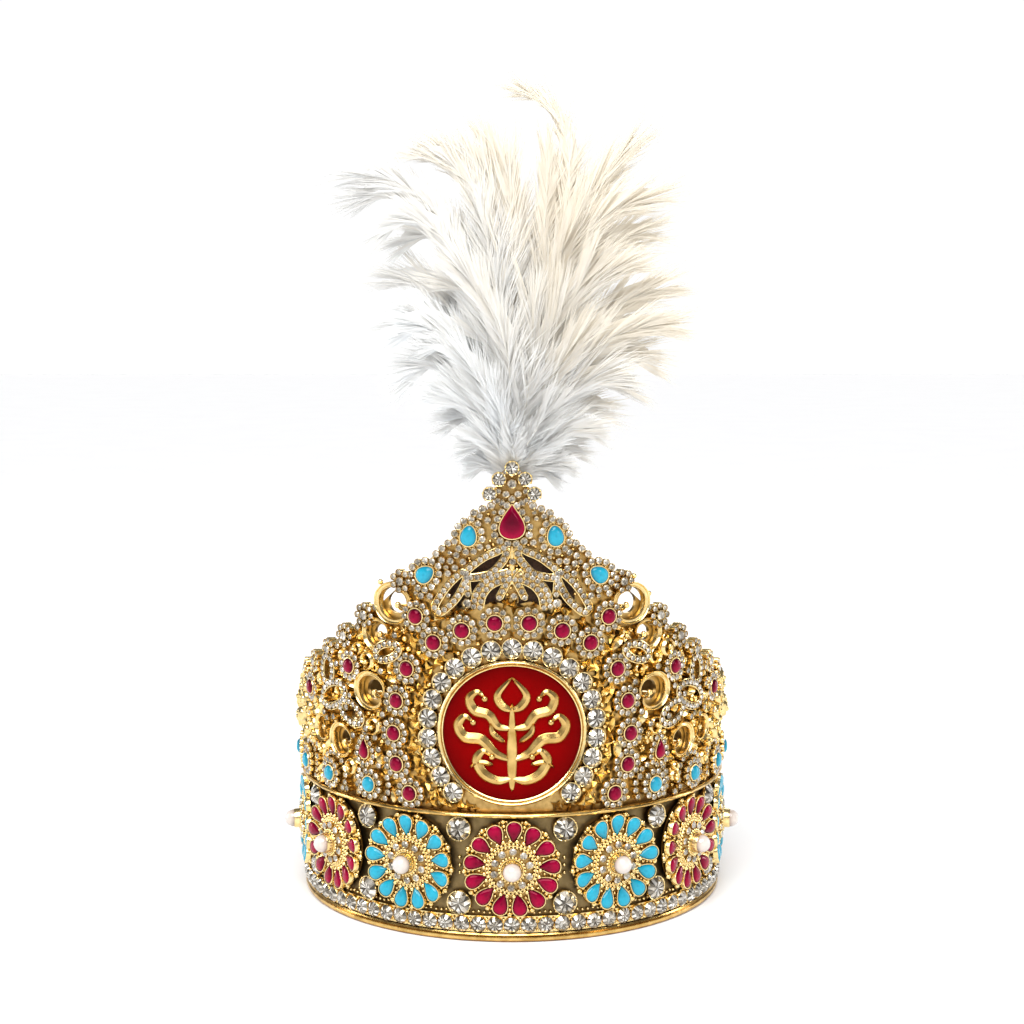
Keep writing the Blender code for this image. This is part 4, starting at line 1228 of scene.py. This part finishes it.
def make_garlands(jewel):
    """Turquoise flowers low on the wall, and ruby flowers near its edge at the back."""
    blue = round_flower("turquoise", 3.5, 5.8, 1.66, 2.6)
    red = round_flower("ruby", 3.2, 5.5, 1.62, 1.8)
    step = (180 - TURQUOISE_START) / TURQUOISE_STEPS
    height = TURQUOISE_HEIGHT + 0.8
    angles = [angle for k in range(TURQUOISE_STEPS + 1)
              for angle in both_sides(TURQUOISE_START + step * k)]
    for angle in angles:
        jewel.stamp(blue, on_wall(angle, height, 0.3, rng.uniform(*FLOWER_TURN)))
        field.take(arc(angle), height, FLOWER_REACH)
    outer_ring = 9.3
    for angle in angles:
        for turn in np.radians(np.arange(-60, 300, 21)):
            u = arc(angle) + outer_ring * cos(turn)
            v = height + outer_ring * sin(turn)
            if v > WALL_BOTTOM + 2 and field.free(u, v, 1.3):
                set_stone(jewel, on_curve(u, v), 1.45, 3.2)
                field.take(u, v, 1.7)
    step = (180 - RUBY_START) / RUBY_STEPS
    for k in range(1, RUBY_STEPS + 1):
        for angle in both_sides(RUBY_START + step * k):
            jewel.stamp(red, on_wall(angle, RUBY_HEIGHT, 0.0, rng.uniform(*FLOWER_TURN)))
            field.take(arc(angle), RUBY_HEIGHT, FLOWER_REACH)


def make_wall():
    """The pierced wall with everything that is soldered to it."""
    make_wall_sheet()
    jewel = Jewel()
    make_garlands(jewel)
    make_scrolls(jewel)
    make_pave_rings(jewel)
    make_edge(jewel)
    make_field(jewel)
    pieces("wall", jewel, ["crown_wall"])


# Pieces on the pierced wall

def medallion_ring(radius, height, count=96):
    """Ring of points round the medallion's middle."""
    return [(radius * cos(a), radius * sin(a) + MEDALLION_HEIGHT, height)
            for a in 2 * pi * np.arange(count) / count]


def make_medallion():
    """Enamel disc, rim, ornament, and the ring of large stones."""
    sides = 72
    jewel = Jewel()
    radii = np.linspace(0, ENAMEL_RADIUS, 15)[:0:-1]
    points, quads = skin([medallion_ring(r, ENAMEL_FACE - 0.5 * (1 - (r / ENAMEL_RADIUS) ** 2),
                                         sides) for r in radii])
    tip = len(points)
    points = np.vstack([points, (0, MEDALLION_HEIGHT, ENAMEL_FACE - 0.5)])
    # Painted shade: the enamel's tone falls towards its rim.
    reach = np.hypot(points[:, 0], points[:, 1] - MEDALLION_HEIGHT) / ENAMEL_RADIUS
    faces = (quads, fan(tip - sides, sides, tip))
    jewel["enamel"].add(wrap(points), faces, 1 - 0.75 * reach ** 3)
    pieces("medallion_enamel", jewel, ["medallion_enamel"])

    jewel = Jewel()
    section = ((MEDALLION_RADIUS, 0.0), (MEDALLION_RADIUS, 2.6), (ENAMEL_RADIUS + 2.5, 3.9),
               (ENAMEL_RADIUS + 1.8, 4.4), (ENAMEL_RADIUS + 1.2, 3.9), (ENAMEL_RADIUS + 0.9, 3.1),
               (ENAMEL_RADIUS + 0.5, 3.5), (ENAMEL_RADIUS + 0.1, 3.2), (ENAMEL_RADIUS, 1.5))
    points, quads = skin([medallion_ring(r, h) for r, h in section])
    jewel["gold"].add(wrap(points), (quads,))
    pieces("medallion_rim", jewel, ["medallion_rim"])

    make_ornament()

    jewel = Jewel()
    make_surround(jewel)
    big = chatons(4.25, 2.6, 4)
    bead = grain(1.2, 8)
    half = (RING_STONES - 1) / 2
    for k in range(RING_STONES):
        turn = radians(RING_STEP * (k - half))
        u, v = RING_RADIUS * sin(turn), RING_RADIUS * cos(turn) + MEDALLION_HEIGHT
        set_large(jewel, big, on_curve(u, v))
        field.take(u, v, 4.5)
        if k < RING_STONES - 1:
            between = turn + radians(RING_STEP / 2)
            reach = RING_RADIUS + 4.3
            jewel["gold"].stamp(bead, on_curve(reach * sin(between),
                                               reach * cos(between) + MEDALLION_HEIGHT))
    pieces("medallion_stones", jewel, ["medallion_stones"])
    field.take(0, MEDALLION_HEIGHT, MEDALLION_RADIUS + 4)


def make_surround(jewel):
    """Satin plate round the medallion, under the ring of stones, in the darker copy of the satin
    gold: painted shade.
    """
    edge = 45.0
    points, quads = skin([medallion_ring(reach, 0.25 if reach < edge else -0.3)
                          for reach in np.linspace(31.5, edge, 6)])
    points[:, 1] = np.maximum(points[:, 1], WALL_BOTTOM + 1.0)
    jewel["painted_shade_ground"].add(wrap(points), (quads[:, ::-1],))


def make_ornament():
    """Raised arabesque on the enamel: tapering strokes that curl at their ends."""
    jewel = Jewel()
    profile = ((-1.0, 0.0), (-0.98, 0.52), (-0.9, 0.6), (-0.86, 0.52), (0.0, 1.0), (0.86, 0.52),
               (0.9, 0.6), (0.98, 0.52), (1.0, 0.0))
    strokes = [(ORNAMENT_STEM, 4.2)]
    for path, width in ORNAMENT_STROKES:
        strokes += [(path, width), ([(-u, v) for u, v in path], width)]
    knob = grain(1.5, 16)
    for points, width in strokes:
        path = smooth_path(points, 8) + (0, MEDALLION_HEIGHT)
        part = np.linspace(0, 1, len(path))
        half = width / 2 * (0.16 + 0.84 * np.sin(pi * part ** 0.8) ** 0.8)
        rise = 1.9 * (0.55 + 0.45 * np.sin(pi * part))
        lay(jewel["deep"], path, profile, half, rise, ENAMEL_FACE - 0.35)
        if len(points) > 4:
            jewel["deep"].stamp(knob, on_curve(*path[-1], ENAMEL_FACE - 0.5))
    pieces("medallion_ornament", jewel, ["medallion_ornament"])


def set_flowers(name, start, template, reach, lift=0.0, roll=lambda angle: 0.0):
    """Flowers of one kind at the places of their nodes, each turned as roll says."""
    jewel = Jewel()
    nodes = nodes_named(start)
    for node in nodes:
        angle, height = place_of(node)
        jewel.stamp(template, on_wall(angle, height, lift, roll(angle)))
        field.take(arc(angle), height, reach)
    pieces(name, jewel, nodes)


def make_flowers():
    """Ruby flowers of the arch and the sides, egg-shaped ones of the peak, and pear stones."""
    for group, seat in (("arch_flower_", 0.8), ("side_flower_", 2.0)):
        set_flowers(group + "set", group, round_flower("ruby", 3.4, 5.65, 1.66, seat), 6.9,
                    roll=lambda angle: rng.uniform(*FLOWER_TURN))
    blue = flower("turquoise", outline("egg", 3.5, 4.5, 26), outline("egg", 6.1, 7.2, 48), 1.75)
    set_flowers("peak_flowers", "peak_flower_", blue, 8.2, 0.2,
                lambda angle: (10 if abs(angle) < 16 else 58) * (1 if angle > 0 else -1))
    pear = flower("ruby", outline("drop", 2.6, 4.6, 24), outline("drop", 5.1, 7.3, 60), 1.45, 1.8)
    set_flowers("pear_stones", "pear_stone_", pear, 6.2)


def faceted_pear(half_width, half_length, height):
    """Pear-shaped stone with painted light and shade: a dark table, bright facets round it,
    brighter low down.
    """
    sides = 16
    rows = []
    tones = []
    for part, rise, shade in ((1.0, 0.0, 0.9), (0.78, 0.6, 0.62), (0.5, 1.0, 0.25)):
        loop = outline("drop", half_width * part, half_length * part, sides)
        rows.append(np.column_stack([loop, np.full(sides, height * rise)]))
        tones.append(shade * 0.6 + 0.4 * np.clip(-loop[:, 1] / half_length, 0, 1))
    points, quads = skin(rows)
    tip = len(points)
    triangles = np.concatenate([quads[:, (0, 1, 2)], quads[:, (0, 2, 3)],
                                fan(tip - sides, sides, tip)])
    points = np.vstack([points, (0, -half_length * 0.05, height * 0.9)])
    return Shape().add(points, (triangles,), np.append(np.concatenate(tones), 0.1)).arrays()


def make_peak_stone():
    """Pear ruby at the peak, with its halo."""
    jewel = Jewel()
    _, height = place_of("peak_stone")
    place = on_wall(0, height)
    loop = outline("drop", 5.4, 7.4, 40)
    halo = outline("drop", 7.8, 9.7, 80)
    # Plate in the darker copy of the satin gold: painted shade.
    jewel["painted_shade_ground"].stamp(dome(grown(halo, 1.0), 1.0, steps=PLATE), place)
    for u, v in spaced(halo, 3.6, closed=True):
        set_stone(jewel, place @ shift(u, v, 0.5), 1.62, 2.1)
        field.take(u, height + v, 1.8)
    jewel["gold"].stamp(collar(loop, 0.5, 0.8, 3.1), place)
    jewel["ruby"].stamp(faceted_pear(5.4, 7.4, 1.7), place @ shift(0, 0, 2.85))
    field.take(0, height, 7.0)
    pieces("peak_stone", jewel, ["peak_stone"])


def make_top_cluster():
    """Five large stones over the peak, with small ones between and below them."""
    jewel = Jewel()
    big = chatons(2.85, 3.4)
    for u, v in ((0, 208.6), (5.4, 203.8), (-5.4, 203.8), (9.3, 197.4), (-9.3, 197.4)):
        set_large(jewel, big, on_curve(u, v))
    small = ((0, 201.8, 2.1), (2.5, 197.4, 1.6), (5.7, 198.6, 1.3), (3.0, 206.6, 1.0),
             (8.6, 192.4, 1.7), (12.2, 191.0, 1.6), (15.8, 189.2, 1.6), (6.0, 194.6, 1.3))
    for u, v, radius in small:
        for side in (1, -1) if u else (1,):
            set_stone(jewel, on_curve(side * u, v, 0.6), radius, 2.6)
            field.take(side * u, v, radius + 0.2)
    bead = grain(1.0, 8)
    for u, v in ((3.2, 206.4), (-3.2, 206.4), (6.6, 199.6), (-6.6, 199.6), (0, 205.0)):
        jewel["gold"].stamp(bead, on_curve(u, v, 0.8))
    middle = 201
    plate = np.array([(-9.0, 195.0), (9.0, 195.0), (5.6, 203.0), (1.4, 208.4), (-1.4, 208.4),
                      (-5.6, 203.0)])
    # Plate in the darker copy of the satin gold: painted shade.
    jewel["painted_shade_ground"].stamp(dome(plate - (0, middle), 1.1, steps=((1, 0), (0.97, 1.0), (0.5, 1.0))),
                          on_wall(0, middle))
    pieces("top_cluster", jewel, ["top_cluster"])


def make_leaf_spray():
    """Leaves of set stones under the peak, on both sides of a stem."""
    jewel = Jewel()
    for side in (1, -1):
        for points in LEAF_LOOPS:
            path = smooth_path([(side * flat(x), z) for x, z in points], 4, closed=True)
            pave(jewel, path, 1.3, closed=True)
        for points, rows in LEAF_STROKES:
            path = smooth_path([(side * flat(x), z) for x, z in points], 5)
            pave(jewel, path, 1.22, rows)
        set_stone(jewel, on_curve(side * flat(19.0), 149.8), 2.1, 2.4)
    stem = smooth_path([(0, 175.0), (0, 168.0), (0, 158.5)], 8)
    width = np.interp(np.linspace(0, 1, len(stem)), (0, 0.5, 1), (1.0, 1.7, 1.4))
    lay(jewel["gold"], stem, WIRE_PROFILE, width, 2.2)
    tendril = smooth_path([(0.2, 161.0), (1.6, 163.4), (3.6, 165.0), (4.6, 163.6), (3.4, 162.8)],
                          6)
    lay(jewel["gold"], tendril, WIRE_PROFILE, 0.7, 1.4, 1.8)
    pieces("leaf_spray", jewel, ["leaf_spray"])


# What holds the plume

def make_socket():
    """Tube behind the peak with a turned collar."""
    low, high = (corner[2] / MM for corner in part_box("plume_socket"))
    bore = 3.5
    radius = 4.7
    neck = radius - 0.3
    jewel = Jewel()
    profile = ((bore, low), (radius, low), (radius, low + 5), (radius, low + 8), (neck, low + 9),
               (neck, high - 9), (radius, high - 8), (radius, high - 3), (neck, high),
               (bore, high), (bore, low))
    place = np.eye(4)
    place[:3, 3] = (0, PLUME_FOOT[1], 0)
    jewel["gold"].stamp(turned(profile, 40), place)
    pieces("plume_socket", jewel, ["plume_socket"])


def make_pad():
    """Padded backing in front of the socket, swollen in its middle."""
    corner, far = (np.array(side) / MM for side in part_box("peak_pad"))
    inner, outer = 92.05, 94.35
    half = degrees(asin(far[0] / 94.0)) * 0.98
    rows = []
    for part in np.linspace(0, 1, 13):
        edge = min(1.0, 6.0 * min(part, 1 - part)) ** 0.5
        row = []
        for turn in np.radians(np.linspace(-half, half, 33)):
            aside = min(1.0, 9.0 * (1 - abs(degrees(turn)) / half)) ** 0.5
            top = min(far[2], crest(degrees(turn)) - 6)
            row.append((turn, corner[2] + (top - corner[2]) * part, edge * aside))
        rows.append(row)
    turn, high, swell = np.moveaxis(np.array(rows), -1, 0)
    shape = Shape()
    for side in (1, -1):
        out = (inner + outer) / 2 + side * (outer - inner) / 2 * swell
        points, quads = skin(np.stack([out * np.sin(turn), -out * np.cos(turn), high], -1),
                             around=False)
        shape.add(points, (quads[:, ::side],))
    made = pieces("peak_pad", Jewel(pad=shape), ["peak_pad"])
    made["pad"]


# The plume

def plume_point(x, height, depth):
    """Point of the plume's leaning plane, moved in depth."""
    lean = np.maximum(0.0, height - PLUME_FOOT[2]) * PLUME_LEAN
    return np.array((x, PLUME_FOOT[1] + lean + depth, height))


def feather_points(row, part):
    """Points along a feather's quill, from its foot to where its last barbs start."""
    tip_x, tip_height, tip_depth, heading, handle, length, face = row
    turn = radians(heading)
    aside = radians(face)
    ahead = np.array((cos(turn) * cos(aside), cos(turn) * sin(aside), sin(turn)))
    end = plume_point(tip_x, tip_height, tip_depth) - ahead * length * 0.6
    reach = np.linalg.norm(end - PLUME_FOOT)
    start = 0.5 * (end - PLUME_FOOT) / reach + (0, 0, 0.5)
    knee = PLUME_FOOT + start / np.linalg.norm(start) * reach * 0.4
    elbow = end - ahead * reach * handle
    t = part[:, None]
    return (PLUME_FOOT * (1 - t) ** 3 + 3 * knee * t * (1 - t) ** 2
            + 3 * elbow * t ** 2 * (1 - t) + end * t ** 3)


def unit(vectors):
    """Vectors scaled to length one."""
    return vectors / np.linalg.norm(vectors, axis=-1, keepdims=True)


def across_quill(row, along):
    """Unit vectors to the side and the front of a feather, along its quill."""
    face = radians(row[6])
    side = unit(np.cross(along, (sin(face), -cos(face), 0.0)))
    return side, np.cross(side, along)


class Barbs:
    """Lines of a feather's barbs, one for each start along the quill, side and scatter."""

    def __init__(self, row, part, swing, own, shared, stretch):
        middle = np.clip((np.floor(part * BARB_CLUMPS) + 0.5) / BARB_CLUMPS, 0, 1)
        self.base = feather_points(row, part)
        along = unit(feather_points(row, part + 0.01) - self.base)
        self.drawn = 0.6 * (feather_points(row, middle) - self.base)
        self.side, self.front = across_quill(row, along)
        spread = 0.22 + 0.55 * (1 - part) ** 1.3 + 0.08 * shared[:, 0] + 0.05 * own[:, 0]
        pitch = 0.14 * shared[:, 1] + 0.09 * own[:, 1]
        across = self.side * (np.sin(spread) * swing)[:, None]
        self.direction = unit(along * np.cos(spread)[:, None] + across
                              + self.front * pitch[:, None])
        swell = np.interp(part, (0, 0.15, 0.5, 0.85, 1), (0.5, 0.62, 1.0, 1.05, 0.8))
        self.length = (row[5] * swell * (1 + 0.08 * shared[:, 2]) * stretch)[:, None]
        self.bend = (along * 0.30 + np.array((0.0, 0.0, -0.22))
                     + (0.10 * own + 0.08 * shared) * (1, 0.5, 1))
        self.swing = swing[:, None]

    def at(self, t):
        """Points of the barbs at a part of their length."""
        return (self.base + self.drawn * t
                + (self.direction * t + self.bend * t * t * 0.6) * self.length)

    def across(self, t, own):
        """Unit vectors across the barbs."""
        tangent = unit(self.direction + self.bend * t * 1.2)
        return unit(np.cross(tangent, self.front + 0.12 * own * (1, 0, 1)))

    def normals(self):
        """Normals of a soft sheet: they look forward, and up where the feather faces sideways."""
        outward = unit(self.base - np.array((0.0, PLUME_FOOT[1] + 12, 262.0)))
        flank = self.front[..., 0:1] ** 4
        return unit(self.front + outward * (0.35, 0.35, 0.1) + flank * (0, -0.5, 0.5)
                    + self.side * self.swing * 0.2)


def warmth(points, change):
    """Tone of the feathers: cool on the left and low down, ivory at the right and the top."""
    to_right, above = points[:, 0], points[:, 2] - 270
    return np.clip(0.60 + 0.010 * to_right + 0.0065 * above + change, 0, 1)


def make_barbs(row, count):
    """Barbs of one feather as ribbons in clumps: points, quads, tips, tones and normals."""
    part = np.sort(0.07 + 0.93 * rng.uniform(0, 1, count) ** 0.8)
    swing = rng.choice((-1.0, 1.0), count)
    clump = (part * BARB_CLUMPS).astype(int) * 2 + (swing > 0)
    shared = rng.normal(size=(2 * BARB_CLUMPS + 2, 3))[clump]
    own = rng.normal(size=(count, 3))
    barbs = Barbs(row, part, swing, own, shared, rng.uniform(0.75, 1.1, count))
    width = 0.17 * rng.uniform(0.7, 1.3, count)
    rows = []
    for t in np.linspace(0, 1, BARB_STEPS + 1):
        across = barbs.across(t, own) * (width * (0.7 + 0.6 * t) * (1 - t ** 3))[:, None]
        rows += [barbs.at(t) - across, barbs.at(t) + across]
    points = np.stack(rows[:-1], axis=1)
    per_barb = points.shape[1]
    index = np.arange(count * per_barb).reshape(count, per_barb)
    quads = np.stack([index[:, 0:-3:2], index[:, 1:-2:2], index[:, 3::2], index[:, 2:-1:2]], -1)
    tones = warmth(barbs.base, 0.08 * own[:, 2] + 0.05 * shared[:, 2] + rng.normal(0, 0.06))
    return (points.reshape(-1, 3), quads.reshape(-1, 4), index[:, -3:],
            np.repeat(tones, per_barb), np.repeat(barbs.normals(), per_barb, axis=0))


def make_vane(row):
    """Soft sheet just behind a feather's barbs: points, quads, tones and normals."""
    part = np.linspace(0.06, 1, 20)
    still = np.zeros((len(part), 3))
    columns = []
    normals = []
    for swing in (-1.0, 1.0):
        barbs = Barbs(row, part, np.full(len(part), swing), still, still, np.ones(len(part)))
        steps = np.linspace(0, VANE_REACH, 5)
        for t in steps[::-1] if swing < 0 else steps[1:]:
            columns.append(barbs.at(t) - barbs.front * (0.8 + 1.2 * t))
            normals.append(barbs.normals())
    points, quads = skin(np.stack(columns, axis=1), around=False)
    return points, quads, warmth(points, 0.05), np.stack(normals, axis=1).reshape(-1, 3)


def facing(points, faces, normals):
    """Faces turned so that their outer sides look the way of the normals."""
    a, b, c = (points[faces[:, k]] for k in range(3))
    away = (np.cross(b - a, c - a) * normals[faces[:, 0]]).sum(axis=1) < 0
    return np.where(away[:, None], faces[:, ::-1], faces)


def make_quill(row):
    """Quill of one feather, a thin tube."""
    part = np.linspace(0, 0.97, 22)
    path = feather_points(row, part)
    side, front = across_quill(row, unit(np.gradient(path, axis=0)))
    radius = (0.5 * (1 - 0.8 * part))[:, None]
    columns = [path + (side * cos(a) + front * sin(a)) * radius
               for a in 2 * pi * np.arange(5) / 5]
    return skin(np.stack(columns, axis=1))


def make_plume():
    """Plume: barbs in three pieces from the back to the front, with their vanes and quills."""
    rows = [(*row, face) for face, group in PLUME_FEATHERS.items() for row in group]
    rows.sort(key=lambda row: -row[2])
    third = (len(rows) + 2) // 3
    vanes = Shape()
    quills = Shape()
    vane_normals = []
    for number in range(3):
        shape = Shape()
        normals = []
        for row in rows[number * third:(number + 1) * third]:
            points, quads, tips, tones, ribbon_normals = make_barbs(row, BARBS_PER_FEATHER)
            quads, tips = (facing(points, faces, ribbon_normals) for faces in (quads, tips))
            shape.add(points, (quads, tips), tones)
            normals.append(ribbon_normals)
            points, quads, tones, sheet_normals = make_vane(row)
            vanes.add(points, (facing(points, quads, sheet_normals),), tones)
            vane_normals.append(sheet_normals)
            points, quads = make_quill(row)
            quills.add(points, (quads,), 0.7)
        feather_piece(f"plume_barbs_{number + 1}", shape, normals)
    feather_piece("plume_vanes", vanes, vane_normals).visible_shadow = False
    feather_piece("plume_quills", quills)


def feather_piece(name, shape, normals=()):
    """One piece of the plume, with its own normals where there are any."""
    thing = new_object(name, shape.arrays(), MATERIALS["feather"])
    if normals:
        thing.data.normals_split_custom_set_from_vertices(np.concatenate(normals).tolist())
    dress(thing, "feather", "plume")
    return thing


# Objects, light and camera

def linked(name, data):
    """New object in the scene."""
    thing = bpy.data.objects.new(name, data)
    bpy.context.scene.collection.objects.link(thing)
    return thing


def new_object(name, arrays, material, smooth=None):
    """Object from arrays of points, tones, triangles and quads in millimetres."""
    points, tones, triangles, quads = arrays
    mesh = bpy.data.meshes.new(name)
    mesh.vertices.add(len(points))
    mesh.vertices.foreach_set("co", (points * MM).ravel())
    corners = np.concatenate([triangles.ravel(), quads.ravel()])
    sizes = np.concatenate([np.full(len(triangles), 3), np.full(len(quads), 4)])
    mesh.loops.add(len(corners))
    mesh.loops.foreach_set("vertex_index", corners.astype(np.int32))
    mesh.polygons.add(len(sizes))
    starts = np.append(0, np.cumsum(sizes)[:-1])
    mesh.polygons.foreach_set("loop_start", starts.astype(np.int32))
    mesh.update(calc_edges=True)
    mesh.validate()
    attribute = mesh.attributes.new("tone", "FLOAT", "POINT")
    attribute.data.foreach_set("value", tones.astype(np.float32))
    if material is not None:
        mesh.materials.append(material)
    if smooth is not None:
        mesh.shade_smooth()
        mesh.set_sharp_from_angle(angle=radians(smooth))
    return linked(name, mesh)


def dress(thing, slot, *nodes):
    """Name a piece's body and hide the nodes that it stands for; slot is not used."""
    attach(thing, "root")
    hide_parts(*nodes)


def pieces(name, jewel, nodes):
    """One object for each kind of surface; together they stand for the nodes."""
    made = {}
    for kind, shape in jewel.items():
        faceted = kind == "crystal" or (name, kind) == ("peak_stone", "ruby")
        made[kind] = new_object(f"{name}_{kind}", shape.arrays(), MATERIALS[kind],
                                None if faceted else CREASE)
        dress(made[kind], SLOTS[kind], *nodes)
    return made


def make_floor():
    """Plain pale floor."""
    half = 6.0
    mesh = bpy.data.meshes.new("floor")
    mesh.from_pydata([(-half, -half, 0), (half, -half, 0), (half, half, 0), (-half, half, 0)], [],
                     [(0, 1, 2, 3)])
    material, tree, shader = new_material("floor", Roughness=0.6)
    colour = ramp(tree, noise(tree, 90.0), ((0.3, (0.96, 0.96, 0.96)), (0.7, (0.98, 0.98, 0.98))))
    tree.links.new(colour, shader.inputs["Base Color"])
    mesh.materials.append(material)
    linked("floor", mesh)


def soft_box(name, place, size, power):
    """Soft box that faces the crown's middle."""
    light = bpy.data.lights.new(name, "AREA")
    light.shape = "RECTANGLE"
    light.size, light.size_y = size
    light.energy = power
    thing = linked(name, light)
    thing.location = place
    aim(thing, LIGHT_TARGET)


def aim(thing, target):
    """Turn an object's -Z axis towards a target."""
    from_to = np.array(target, float) - np.array(thing.location)
    flat_reach = np.hypot(from_to[0], from_to[1])
    thing.rotation_euler = (pi / 2 + np.arctan2(from_to[2], flat_reach), 0,
                            np.arctan2(-from_to[0], from_to[1]))


def make_light():
    """World that is pale at the horizon and grey above, a sun, and soft boxes."""
    world = bpy.data.worlds.new("studio")
    world.use_nodes = True
    tree = world.node_tree
    background = tree.nodes["Background"]
    place = tree.nodes.new("ShaderNodeTexCoord")
    parts = tree.nodes.new("ShaderNodeSeparateXYZ")
    tree.links.new(place.outputs["Generated"], parts.inputs[0])
    sky = ramp(tree, parts.outputs["Z"], SKY)
    tree.links.new(sky, background.inputs["Color"])
    background.inputs["Strength"].default_value = SKY_STRENGTH
    bpy.context.scene.world = world
    sun = bpy.data.lights.new("sun", "SUN")
    sun.energy = SUN_STRENGTH
    sun.angle = radians(SUN_WIDTH)
    linked("sun", sun).rotation_euler = (radians(SUN_TILT), 0, radians(SUN_TURN))
    for row in SOFT_BOXES:
        soft_box(*row)


def make_camera():
    """Camera at the photograph's angle."""
    camera = bpy.data.cameras.new("camera")
    camera.sensor_width = 36
    camera.lens = CAMERA_LENS
    thing = linked("camera", camera)
    thing.location = CAMERA_PLACE
    thing.rotation_euler = (pi / 2 - CAMERA_DIP, 0, 0)
    bpy.context.scene.camera = thing


MATERIALS = make_materials()
make_camera()
make_light()
make_floor()
make_base()
make_band()
make_rosettes()
make_medallion()
make_flowers()
make_peak_stone()
make_top_cluster()
make_leaf_spray()
make_wall()
make_socket()
make_pad()
make_plume()
bpy.context.scene.view_settings.view_transform = "Standard"
